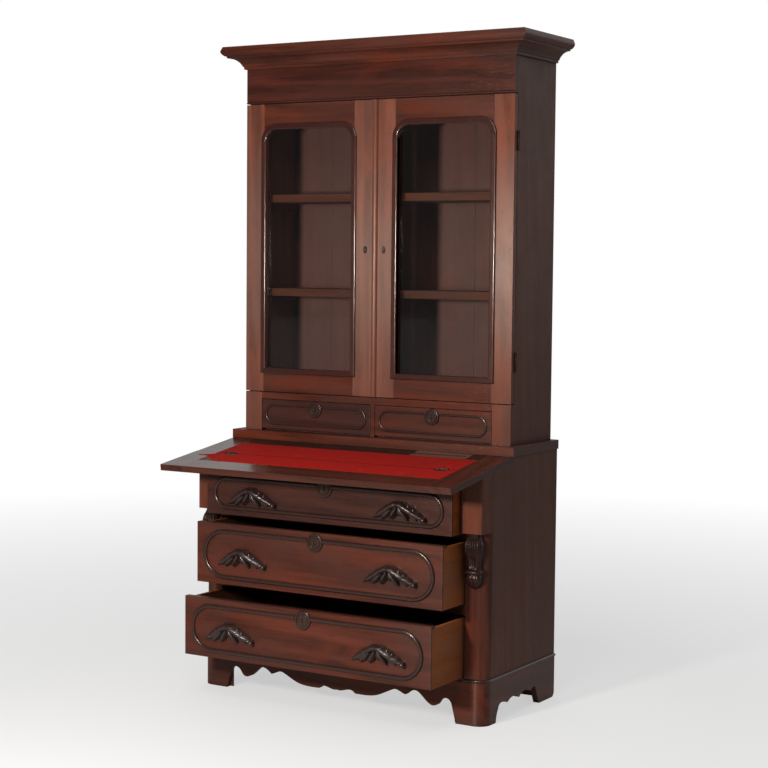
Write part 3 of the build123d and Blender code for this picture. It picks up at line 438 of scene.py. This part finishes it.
def metal(name, colour, dull, rough, spots):
    """Old metal: bare colour on the high places and a dull skin elsewhere."""
    material, tree, bsdf, place = new_material(name)
    cloud = fractal(tree, place, 90, 5, 0.65)
    fine = fractal(tree, place, 900, 3, 0.6)
    skin = rise(tree, cloud, spots - 0.08, spots + 0.10)
    put(
        tree,
        bsdf,
        Base_Color=blend(tree, skin, colour, dull),
        Metallic=times_plus(tree, skin, -0.45, 1.0),
        Roughness=times_plus(tree, skin, 0.3, times_plus(tree, fine, 0.15, rough)),
        Normal=relief(tree, times_plus(tree, fine, 0.5, cloud), 0.25, 0.0003),
    )
    return material


looks["brass"] = metal("brass", srgb(176, 132, 100), srgb(38, 26, 21), 0.24, 0.40)
looks["bronze"] = metal("bronze", srgb(92, 66, 46), srgb(40, 29, 24), 0.42, 0.36)
looks["iron"] = metal("iron", srgb(104, 98, 94), srgb(52, 44, 40), 0.45, 0.42)


def felt_cloth():
    """Red felt, darker towards the back with painted shade and some dirt, with stains, scuffs and a
    painted dark line of shade at the fold.
    """
    material, tree, bsdf, place = new_material("felt")
    fuzz = fractal(tree, place, 1500, 4, 0.7)
    clumps = fractal(tree, place, 160, 5, 0.65, 0.6)
    stains = fractal(tree, place, 7, 5, 0.6, 0.4)
    depth = add(tree, "ShaderNodeSeparateXYZ", place).outputs[1]
    # darker towards the back: partly painted shade, as the low front light grazes the far cloth,
    # partly dirt
    back = rise(tree, times_plus(tree, depth, 3.2, 0.85), 0.0, 1.0)
    bright, dim_red = (0.45, 0.008, 0.004, 1), (0.26, 0.007, 0.005, 1)
    body = blend(tree, times(tree, back, 0.55), bright, dim_red)
    body = blend(tree, fall(tree, clumps, 0.4, 0.62, 0.35), body, tinted(dim_red, 0.8))
    body = blend(tree, fall(tree, stains, 0.32, 0.46, 0.5), body, (0.19, 0.012, 0.012, 1))
    body = blend(tree, fall(tree, fuzz, 0.35, 0.55, 0.45), body, (0.26, 0.009, 0.008, 1))
    # painted shade along the fold, a wavy dark line about a centimetre wide
    off_fold = calc(tree, "ABSOLUTE", calc(tree, "ADD", depth, -FOLD.y))
    off_fold = times_plus(tree, fractal(tree, place, 30, 3, 0.6), 0.006, off_fold)
    fold_shade = fall(tree, times(tree, off_fold, 100.0), 0.33, 0.95, 0.75)
    body = blend(tree, fold_shade, body, (0.13, 0.008, 0.008, 1))
    scuff_place = scaled(tree, place, (0.25, 1, 1))
    scuff = rise(tree, fractal(tree, scuff_place, 75, 5, 0.7, 0.4), 0.60, 0.70, 0.35)
    put(
        tree,
        bsdf,
        Base_Color=blend(tree, scuff, body, (0.55, 0.10, 0.07, 1)),
        Roughness=times_plus(tree, fuzz, 0.1, 0.86),
        Normal=relief(tree, times_plus(tree, clumps, 1.2, fuzz), 0.5, 0.0006),
        Sheen_Weight=0.03,
        Sheen_Roughness=0.5,
        Sheen_Tint=(1, 0.35, 0.3, 1),
        Specular_IOR_Level=0.06,
    )
    return material


def window_glass():
    """Clear old glass: see-through, with a slightly uneven reflection and a little dust."""
    material, tree, bsdf, place = new_material("glass")
    tree.nodes.remove(bsdf)
    ripples = fractal(tree, scaled(tree, place, (1, 1, 0.35)), 7, 2, 0.4, 0.5)
    uneven = relief(tree, ripples, 0.05, 0.002)
    dust = fractal(tree, place, 16, 5, 0.65)
    shine = add(tree, "ShaderNodeBsdfGlossy")
    smudge = stops(tree, dust, (0.4, grey(0.02)), (0.75, grey(0.09)))
    put(tree, shine, Color=(1, 1, 1, 1), Roughness=smudge, Normal=uneven)
    clear = add(tree, "ShaderNodeBsdfTransparent", (0.93, 0.92, 0.91, 1))
    # the same on both faces of the pane, because the see-through shader does not bend the light
    slant = add(tree, "ShaderNodeLayerWeight", 0.5, uneven).outputs["Facing"]
    mirror = times_plus(tree, calc(tree, "POWER", slant, 5.0), 0.90, 0.05)
    show(tree, add(tree, "ShaderNodeMixShader", mirror, clear.outputs[0], shine.outputs[0]))
    return material


looks["felt"] = felt_cloth()
looks["glass"] = window_glass()

# ------------------------------------------------------------------- looks for the CAD nodes

FACING = 0.9  # a face looks along a direction when its normal's share of it is over this
NEAR = 0.0005


def paint(node_name, choose):
    """Give each face of a CAD node the look that choose(middle, normal) names."""
    mesh = nodes[node_name].data
    mesh.materials.clear()
    places = {}
    for face in mesh.polygons:
        look = choose(face.center, face.normal)
        if look not in places:
            places[look] = len(places)
            mesh.materials.append(looks[look])
        face.material_index = places[look]


def plain(look):
    return lambda middle, normal: look


def along(kind, axis, ends=None):
    """One wood with its grain along an axis; ends names the look of the board ends."""

    def choose(middle, normal):
        if ends and abs(normal[AXES[axis]]) > FACING:
            return ends
        return f"{kind}_{axis}"

    return choose


def side_panel_look(middle, normal):
    return "walnut_end" if abs(normal.z) > FACING else "side_walnut_z"


def plinth_look(middle, normal):
    return "walnut_y" if abs(middle.x) > PLINTH_SIDE_FROM else "walnut_x"


def facing_side(kind):
    """Mouldings that turn a corner: grain along Y on the faces that look sideways."""

    def choose(middle, normal):
        return f"{kind}_y" if abs(normal.x) > abs(normal.y) + 0.2 else f"{kind}_x"

    return choose


def surface_look(middle, normal):
    """The writing surface: boards round the felt, and the rougher wood that was glued under it."""
    if normal.dot(OFF_SLOPE) > FACING:
        height = (middle - FOLD).dot(OFF_SLOPE)
        if -0.0025 < height < -0.0012:  # the floor of the recess that holds the felt
            return "glued_x"
        # the back rail behind the cloth, darkened with painted shade from the deck's moulding
        if middle.y > BACK_RAIL_FROM_Y and abs(middle.x) < FELT_HALF:
            return "shaded_rail_x"
    return "top_walnut_y" if abs(middle.x) > END_BOARD_FROM else "top_walnut_x"


def shelf_look(middle, normal):
    return "tan_edge" if normal.y < -FACING else "pine_x"


def surround_look(middle, normal):
    in_stile = abs(middle.x) > SURROUND_STILE_FROM and middle.y < 0.1
    return "lit_stile_z" if in_stile else "walnut_x"


def cornice_look(middle, normal):
    """Mitred at the front corners, with a plain back."""
    if normal.y > FACING:
        return "walnut_end"
    beyond_mitre = abs(middle.x) - CASE_HALF > CASE_FRONT_Y - middle.y + 0.001
    return "walnut_y" if beyond_mitre else "walnut_x"


def door_frame_look(middle, normal):
    if abs(abs(middle.x) - DOOR_X) < DOOR_RAIL_HALF:
        return "walnut_x"
    return "walnut_end" if abs(normal.z) > FACING else "lit_stile_z"


def door_moulding_look(name):
    """Upright strips have upright grain, and the rest, with the arched top, runs across."""
    low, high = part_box(f"{name}_door_moulding")
    strip, arch = 0.02, 0.09

    def choose(middle, normal):
        beside = min(middle.x - low.x, high.x - middle.x) < strip
        upright_part = low.z + strip < middle.z < high.z - arch
        return "frame_bead_z" if beside and upright_part else "frame_bead_x"

    return choose


def box_look(name):
    """Bare golden wood outside; within, the box is darker, partly with age and ink, partly with
    painted shade.
    """
    low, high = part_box(f"{name}_drawer_box")

    def choose(middle, normal):
        outside = middle.x - low.x < NEAR or high.x - middle.x < NEAR
        if outside or high.z - middle.z < NEAR:
            return "poplar_y"
        if high.y - middle.y < NEAR or normal.z < -FACING:
            return "poplar_x"
        return "aged_shaded_inside_y" if abs(normal.x) > FACING else "aged_shaded_inside_x"

    return choose


def lock_look(name):
    """The turned ring is wood, and the lock case behind the drawer's front is iron."""
    front_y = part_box(f"{name}_drawer_front")[0].y
    return lambda middle, normal: "iron" if middle.y > front_y + 0.012 else "bead_x"


rules = {
    "base_side_panels": side_panel_look,
    "base_back_boards": along("pine", "z"),
    "corner_posts": along("walnut", "z", "walnut_end"),
    "console_blocks": along("lit_stile", "z", "walnut_end"),
    "corbels": plain("ebonised_z"),
    "plinth_boards": plinth_look,
    "bracket_feet": facing_side("walnut"),
    "ring_moulding": facing_side("bead"),
    "blades_and_rails": along("walnut", "x"),
    "drawer_runners": along("poplar", "y", "poplar_end"),
    "deck": along("walnut", "x", "walnut_end"),
    "bed_frame": surface_look,
    "bed_felt": plain("felt"),
    "lid_frame": surface_look,
    "lid_felt": plain("felt"),
    "lid_hinge_bed_leaves": plain("brass"),
    "lid_hinge_leaves": plain("brass"),
    "bookcase_sides": side_panel_look,
    "bookcase_boards": along("pine", "x"),
    "bookcase_back_boards": along("back", "z"),
    "shelves": shelf_look,
    "shelf_cleats": along("pine", "y"),
    "small_drawer_surround": surround_look,
    "frieze": along("frieze", "x", "walnut_end"),
    "cornice": cornice_look,
    "door_hinge_case_leaves": plain("bronze"),
    "door_astragal": along("lit_stile", "z"),
}
for name in ("left", "right"):
    rules[f"{name}_door_frame"] = door_frame_look
    rules[f"{name}_door_moulding"] = door_moulding_look(name)
    rules[f"{name}_door_glass"] = plain("glass")
    rules[f"{name}_door_lock"] = plain("iron")
    rules[f"{name}_door_hinge_leaves"] = plain("bronze")
for name in LONG_DRAWERS + SMALL_DRAWERS:
    # the upper drawer, under the open lid, takes the darker walnut as painted shade; the left small
    # drawer has it too
    front = "dull" if name in ("upper", "left_small") else "walnut"
    rules[f"{name}_drawer_front"] = along(front, "x", "walnut_end")
    rules[f"{name}_drawer_box"] = box_look(name)
    rules[f"{name}_drawer_moulding"] = along("bead", "x")
    rules[f"{name}_drawer_lock"] = lock_look(name)
for name in LONG_DRAWERS:
    rules[f"{name}_drawer_pulls"] = plain("ebonised")
for name in sorted(nodes):
    paint(name, rules[name])

# ------------------------------------------------------------------------------ carved pieces


def finished(bm, name, look, body):
    """Turn a bmesh into a piece that rides on a CAD body."""
    bmesh.ops.recalc_face_normals(bm, faces=bm.faces)
    mesh = bpy.data.meshes.new(name)
    bm.to_mesh(mesh)
    bm.free()
    for face in mesh.polygons:
        face.use_smooth = True
    mesh.materials.append(looks[look])
    piece = bpy.data.objects.new(name, mesh)
    scene.collection.objects.link(piece)
    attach(piece, body)
    return piece


def drawn_mesh(thing):
    """The mesh of an object after its modifiers."""
    graph = bpy.context.evaluated_depsgraph_get()
    return bpy.data.meshes.new_from_object(thing.evaluated_get(graph))


def smooth_curve(points, share):
    """A point on a smooth line through the given values, share running from 0 to 1."""
    last = len(points) - 1
    spot = min(max(share, 0.0), 1.0) * last
    i = min(int(spot), last - 1)
    t = spot - i
    four = points[max(i - 1, 0)], points[i], points[i + 1], points[min(i + 2, last)]

    def mixed(p, q, r, v):
        line = 2 * q + (r - p) * t
        return 0.5 * (line + (2 * p - 5 * q + 4 * r - v) * t * t + (3 * q - p - 3 * r + v) * t**3)

    return tuple(mixed(*values) for values in zip(*four))


def smooth_value(values, share):
    return smooth_curve([(v,) for v in values], share)[0]


def carved_leaf(bm, spine, widths, heights, crest, veins=0, lobes=0, steps=44, across=16):
    """A leaf standing out of a flat ground along a curved spine.

    The spine holds (x, z) points; half widths and heights run along it. Veins slant back from the
    midrib, lobes scallop the edges, and a smaller crest gives a fuller section.
    """
    nudge = 0.01
    rows = []
    for i in range(steps + 1):
        s = i / steps
        x, z = smooth_curve(spine, s)
        ahead_x, ahead_z = smooth_curve(spine, s + nudge)
        behind_x, behind_z = smooth_curve(spine, s - nudge)
        run = sqrt((ahead_x - behind_x) ** 2 + (ahead_z - behind_z) ** 2) or 1
        side_x, side_z = -(ahead_z - behind_z) / run, (ahead_x - behind_x) / run
        width = smooth_value(widths, s)
        height = smooth_value(heights, s)
        if lobes:
            width *= 1 + 0.10 * cos(2 * pi * lobes * s)
        row = []
        for j in range(across + 1):
            t = 2 * j / across - 1
            arch = (1 - t * t) ** crest
            out = height * (0.16 + 0.84 * arch)
            if veins:
                vein = max(0.0, cos(2 * pi * (veins * s - 0.9 * abs(t)))) ** 3
                out -= 0.0011 * vein * arch
            row.append((x + side_x * width * t, z + side_z * width * t, max(out, 0.0004)))
        rows.append(row)
    top = [[bm.verts.new((x, -out, z)) for x, z, out in row] for row in rows]
    base = [[bm.verts.new((x, 0.0, z)) for x, z, out in row] for row in rows]
    for grid in (top, base):
        for a, b in zip(grid, grid[1:]):
            for j in range(across):
                bm.faces.new((a[j], a[j + 1], b[j + 1], b[j]))
    for i in range(steps):
        for j in (0, across):
            bm.faces.new((top[i][j], base[i][j], base[i + 1][j], top[i + 1][j]))
    for i in (0, steps):
        for j in range(across):
            bm.faces.new((top[i][j], top[i][j + 1], base[i][j + 1], base[i][j]))


def melted(bm, voxel, rounds):
    """One skin round all the shapes in a bmesh, its creases softened as by a carver's rasp."""
    bmesh.ops.recalc_face_normals(bm, faces=bm.faces)
    rough = bpy.data.meshes.new("rough")
    bm.to_mesh(rough)
    bm.free()
    holder = bpy.data.objects.new("rough", rough)
    scene.collection.objects.link(holder)
    skin = holder.modifiers.new("skin", "REMESH")
    skin.mode = "VOXEL"
    skin.voxel_size = voxel
    relax = holder.modifiers.new("relax", "SMOOTH")
    relax.factor = 0.5
    relax.iterations = rounds
    drawn = drawn_mesh(holder)
    bpy.data.objects.remove(holder)
    bpy.data.meshes.remove(rough)
    return drawn


# (x, z) along each spine, from the peak outwards
RIGHT_LEAF = (
    (-0.013, 0.0205),
    (0.014, 0.0145),
    (0.041, 0.0005),
    (0.069, -0.0150),
    (0.092, -0.0260),
)
LEFT_LEAF = (
    (0.012, 0.0200),
    (-0.017, 0.0150),
    (-0.045, -0.0005),
    (-0.073, -0.0180),
    (-0.1000, -0.0330),
)
# spine, half width, height
FAN = (
    (((0.004, 0.008), (0.014, -0.006), (0.023, -0.019), (0.031, -0.0320)), 0.0088, 0.0245),
    (((0.028, 0.001), (0.040, -0.009), (0.051, -0.019), (0.062, -0.0295)), 0.0092, 0.0190),
    (((-0.004, 0.008), (-0.014, -0.006), (-0.023, -0.018), (-0.032, -0.0310)), 0.0094, 0.0265),
    (((-0.028, 0.001), (-0.041, -0.010), (-0.053, -0.021), (-0.066, -0.0330)), 0.0095, 0.0180),
    (((0.000, 0.011), (0.000, 0.001), (0.000, -0.010), (-0.001, -0.0200)), 0.0110, 0.0150),
)
# x, z, how far out, radius
BERRIES = (
    (0.0905, -0.0245, 0.0150, 0.0080),
    (0.0390, 0.0150, 0.0180, 0.0050),
    (0.0570, 0.0050, 0.0160, 0.0044),
)


def leaf_pull():
    """One carved pull: two long leaves that fall from a peak, over a fan of shorter lobes."""
    bm = bmesh.new()
    right_widths = (0.0085, 0.0120, 0.0130, 0.0110, 0.0080)
    right_heights = (0.0270, 0.0315, 0.0300, 0.0225, 0.0140)
    carved_leaf(bm, RIGHT_LEAF, right_widths, right_heights, 0.5, veins=5, lobes=4)
    left_widths = (0.0085, 0.0115, 0.0130, 0.0110, 0.0015)
    left_heights = (0.0265, 0.0285, 0.0225, 0.0150, 0.0050)
    carved_leaf(bm, LEFT_LEAF, left_widths, left_heights, 0.6, veins=6, lobes=4)
    for spine, width, height in FAN:
        widths = (width * 0.7, width, width * 0.95, width * 0.45)
        heights = (height, height, height * 0.85, height * 0.5)
        carved_leaf(bm, spine, widths, heights, 0.55, steps=22, across=12)
    for x, z, out, radius in BERRIES:
        place = Matrix.Translation((x, -out, z))
        bmesh.ops.create_uvsphere(bm, u_segments=20, v_segments=14, radius=radius, matrix=place)
    return melted(bm, 0.0011, 2)


pull_mesh = leaf_pull()
for name in LONG_DRAWERS:
    low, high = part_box(f"{name}_drawer_pulls")
    face_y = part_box(f"{name}_drawer_front")[0].y
    bm = bmesh.new()
    for side in SIDES:
        start = len(bm.verts)
        bm.from_mesh(pull_mesh)
        bm.verts.ensure_lookup_table()
        for vert in bm.verts[start:]:
            vert.co += Vector((side * PULL_X, face_y, (low.z + high.z) / 2 - 0.001))
    pulls = finished(bm, f"{name}_carved_pulls", "ebonised", f"{name}_drawer")
    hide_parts(f"{name}_drawer_pulls")
bpy.data.meshes.remove(pull_mesh)

# (height on the post, half width, reach) from the tip of the bud up to the cap
CORBEL = (
    (0.4360, 0.0030, 0.0040),
    (0.4390, 0.0080, 0.0090),
    (0.4440, 0.0145, 0.0150),
    (0.4530, 0.0220, 0.0215),
    (0.4640, 0.0262, 0.0265),
    (0.4740, 0.0262, 0.0270),
    (0.4800, 0.0250, 0.0250),
    (0.4825, 0.0240, 0.0232),
    (0.4850, 0.0280, 0.0300),
    (0.4885, 0.0300, 0.0335),
    (0.4920, 0.0306, 0.0345),
    (0.4955, 0.0298, 0.0330),
    (0.4985, 0.0270, 0.0285),
    (0.5005, 0.0236, 0.0222),
    (0.5100, 0.0232, 0.0218),
    (0.5260, 0.0240, 0.0226),
    (0.5420, 0.0275, 0.0275),
    (0.5560, 0.0300, 0.0330),
    (0.5680, 0.0308, 0.0350),
    (0.5790, 0.0300, 0.0340),
    (0.5900, 0.0270, 0.0290),
    (0.6000, 0.0232, 0.0215),
    (0.6080, 0.0210, 0.0165),
    (0.6130, 0.0205, 0.0150),
)
CORBEL_FOOT = CORBEL[0][0]
CORBEL_HEAD = CORBEL[-1][0]


def corbel_section(height):
    """Half width and reach at a height."""
    for (z0, w0, r0), (z1, w1, r1) in zip(CORBEL, CORBEL[1:]):
        if height <= z1 + 1e-9:
            t = (height - z0) / (z1 - z0)
            return w0 + (w1 - w0) * t, r0 + (r1 - r0) * t
    return CORBEL[-1][1:]


def within(height, low, high, fade_in, fade_out):
    """1 between two heights, with its ends faded."""
    entered = max(0.0, min(1.0, (height - low) / fade_in))
    return entered * max(0.0, min(1.0, (high - height) / fade_out))


def bump_at(t, middle, half_width, power=2):
    return exp(-(((t - middle) / half_width) ** power))


def carve_corbel(bm, middle_x, face_y):
    """A carved bracket: ribbed cap, slim waist, turned band and a drop like a bud."""
    rows = []
    steps, across = 190, 60
    for i in range(steps + 1):
        height = CORBEL_FOOT + (CORBEL_HEAD - CORBEL_FOOT) * i / steps
        half, reach = corbel_section(height)
        cap = within(height, 0.535, 0.604, 0.020, 0.012)
        waist = within(height, 0.500, 0.545, 0.01, 0.016)
        bud = within(height, 0.440, 0.484, 0.012, 0.008)
        row = []
        for j in range(across + 1):
            t = 2 * j / across - 1
            out = reach * max(0.0, 1 - abs(t) ** 2.8) ** (1 / 2.8)
            out *= 1 + 0.075 * cap * cos(pi * 8 * t)
            out *= 1 - 0.10 * bud * bump_at(t, 0, 0.10) - 0.05 * bud * bump_at(abs(t), 0.55, 0.08)
            out *= 1 - 0.22 * waist * bump_at(t, 0, 0.42, 4) + 0.05 * waist * bump_at(t, 0, 0.07)
            row.append(bm.verts.new((middle_x + half * t, face_y - out, height)))
        rows.append(row)
    for a, b in zip(rows, rows[1:]):
        for j in range(across):
            bm.faces.new((a[j], a[j + 1], b[j + 1], b[j]))
        bm.faces.new((a[across], a[0], b[0], b[across]))
    bm.faces.new(rows[0])
    bm.faces.new(rows[-1])


bm = bmesh.new()
post_face_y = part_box("corner_posts")[0].y
for side in SIDES:
    carve_corbel(bm, side * CORBEL_X, post_face_y)
corbels = finished(bm, "carved_corbels", "ebonised_z", "case")
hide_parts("corbels")

# -------------------------------------------------------------------------------------- felts

# Places on the writing surface are (x, distance up the slope from the fold).
FELT_THICK = 0.0012
FELT_SINK = 0.0003  # the cloth's face lies this far under the wood's
BED_NEAR, BED_FAR = 0.0002, 0.1413
LID_NEAR, LID_FAR = -0.0006, -0.1138
TEAR_START, TEAR_END = (-0.377, LID_FAR), (-FELT_HALF, -0.056)
FLAP_TIP, FLAP_ROOT = (-0.508, -0.048), (-FELT_HALF, -0.030)
CUT_HALF, CUT_REACH, CUT_CORNER = 0.0232, 0.0186, 0.014


def on_slope(x, along_slope, height):
    """A point of the writing surface, from its distance up the slope and out of the wood."""
    return FOLD + Vector((x, 0, 0)) + UP_SLOPE * along_slope + OFF_SLOPE * height


def hinge_cut(middle, edge, direction):
    """The round-cornered notch that the cloth leaves for a hinge leaf, from left to right."""
    points = [(middle - CUT_HALF, edge)]
    corners = (middle - CUT_HALF + CUT_CORNER, pi), (middle + CUT_HALF - CUT_CORNER, pi / 2)
    for centre_x, first in corners:
        for k in range(9):
            angle = first - k * pi / 16
            depth = CUT_REACH - CUT_CORNER + CUT_CORNER * sin(angle)
            points.append((centre_x + CUT_CORNER * cos(angle), direction * depth))
    return points + [(middle + CUT_HALF, edge)]


def between(a, b, count, bulge, ragged=0.0):
    """Points from a to b, both left out, on a bowed line that may be ragged."""
    run_x, run_t = b[0] - a[0], b[1] - a[1]
    points = []
    for k in range(1, count):
        s = k / count
        frayed = sin(23 * s + 0.7) + 0.6 * sin(61 * s) + 0.5 * sin(107 * s + 2)
        off = bulge * sin(pi * s) + ragged * frayed
        points.append((a[0] + run_x * s - run_t * off, a[1] + run_t * s + run_x * off))
    return points


def felt_outline(direction, near, far):
    """Corner points of a cloth, with its hinge notches on the edge at the fold."""
    notches = [hinge_cut(side * HINGE_X, near, direction) for side in SIDES]
    edge = [(-FELT_HALF, near), *notches[0], *notches[1], (FELT_HALF, near)]
    return edge + [(FELT_HALF, far), (-FELT_HALF, far)]


def torn_outline(near, far):
    """The lid's cloth: front left corner torn away, and a pointed tongue out over the wood."""
    edge = felt_outline(-1, near, far)[:-1] + [TEAR_START]
    edge += between(TEAR_START, TEAR_END, 34, 0.09, 0.009) + [TEAR_END]
    edge += between(TEAR_END, FLAP_TIP, 8, -0.05, 0.012) + [FLAP_TIP]
    return edge + between(FLAP_TIP, FLAP_ROOT, 8, -0.06, 0.010) + [FLAP_ROOT]


def flat_lift(x, t):
    """Small swells where the glue has let go, and the pile's unevenness."""
    swell = 0.00016 * sin(31 * x + 3 * sin(19 * t)) * sin(47 * t + 2 * sin(11 * x))
    return swell + 0.00010 * sin(173 * x + 40 * t) * sin(211 * t + 1.3)


def torn_lift(x, t):
    """The cloth curls up a little along its tear, and its tongue lies on the bare wood."""
    run_x, run_t = TEAR_END[0] - TEAR_START[0], TEAR_END[1] - TEAR_START[1]
    length = sqrt(run_x**2 + run_t**2)
    off_tear = abs((x - TEAR_START[0]) * run_t - (t - TEAR_START[1]) * run_x) / length
    curl = 0.0015 * max(0.0, 1 - off_tear / 0.016) ** 2 if x < -0.36 else 0.0
    out = min(max((-0.440 - x) / 0.020, 0.0), 1.0)
    beside = min(max((-0.018 - t) / 0.014, 0.0), 1.0)
    tongue = 0.0018 * out * out * (3 - 2 * out) * beside
    return flat_lift(x, t) + max(curl, tongue)


def felt_piece(name, body, outline, lift):
    """A cloth cut to an outline in the writing plane, and its flat area."""
    bm = bmesh.new()
    bm.faces.new([bm.verts.new((x, t, 0)) for x, t in outline])
    area = sum(face.calc_area() for face in bm.faces)
    for axis, pitch in ((0, 0.006), (1, 0.005)):
        reach = [vert.co[axis] for vert in bm.verts]
        normal = Vector((0, 0, 0))
        normal[axis] = 1
        for k in range(int(min(reach) / pitch) - 1, int(max(reach) / pitch) + 2):
            bmesh.ops.bisect_plane(
                bm,
                geom=[*bm.verts, *bm.edges, *bm.faces],
                dist=1e-6,
                plane_co=normal * (k * pitch),
                plane_no=normal,
            )
    for vert in bm.verts:
        x, t = vert.co.x, vert.co.y
        vert.co = on_slope(x, t, lift(x, t) - FELT_SINK)
    piece = finished(bm, name, "felt", body)
    if piece.data.polygons[0].normal.z < 0:
        piece.data.flip_normals()
    skin = piece.modifiers.new("thickness", "SOLIDIFY")
    skin.thickness = FELT_THICK
    skin.offset = -1
    drawn = drawn_mesh(piece)
    piece.modifiers.clear()
    piece.data = drawn
    return piece, area


bed_outline = felt_outline(1, BED_NEAR, BED_FAR)
bed_sheet, bed_area = felt_piece("bed_felt_sheet", "case", bed_outline, flat_lift)
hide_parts("bed_felt")
lid_outline = torn_outline(LID_NEAR, LID_FAR)
lid_sheet, lid_area = felt_piece("lid_felt_sheet", "lid", lid_outline, torn_lift)
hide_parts("lid_felt")

# --------------------------------------------------------------------- floor and surroundings


def stage_floor():
    """A pale floor that fades into the white surroundings."""
    mesh = bpy.data.meshes.new("floor")
    bm = bmesh.new()
    bmesh.ops.create_circle(bm, cap_ends=True, segments=96, radius=40)
    bm.to_mesh(mesh)
    bm.free()
    floor = bpy.data.objects.new("floor", mesh)
    floor.location.z = -0.0005  # just under the feet
    scene.collection.objects.link(floor)
    material, tree, bsdf, place = new_material("floor")
    put(tree, bsdf, Base_Color=(0.82, 0.82, 0.82, 1), Roughness=0.75)
    far = vector_calc(tree, "LENGTH", place)["Value"]
    fade = rise(tree, times(tree, far, 0.1), 0.12, 0.55)
    seen = add(tree, "ShaderNodeLightPath").outputs["Is Camera Ray"]
    glow = add(tree, "ShaderNodeEmission", (1, 1, 1, 1), times_plus(tree, seen, 0.85, 0.15))
    share = times_plus(tree, fade, 0.45, 0.55)
    show(tree, add(tree, "ShaderNodeMixShader", share, bsdf.outputs[0], glow.outputs[0]))
    mesh.materials.append(material)


def surroundings():
    """White to the camera; for the light, a room that is brighter behind the desk."""
    world = bpy.data.worlds.new("surroundings")
    scene.world = world
    world.use_nodes = True
    tree = world.node_tree
    direction = add(tree, "ShaderNodeTexCoord").outputs["Generated"]
    depth = add(tree, "ShaderNodeSeparateXYZ", direction).outputs[1]
    backwards = times_plus(tree, depth, 0.5, 0.5)
    glow = stops(tree, backwards, (0.45, grey(0.07)), (0.85, grey(0.62)))
    seen = add(tree, "ShaderNodeLightPath").outputs["Is Camera Ray"]
    put(tree, tree.nodes["Background"], Color=blend(tree, seen, glow, (1, 1, 1, 1)))


stage_floor()
surroundings()
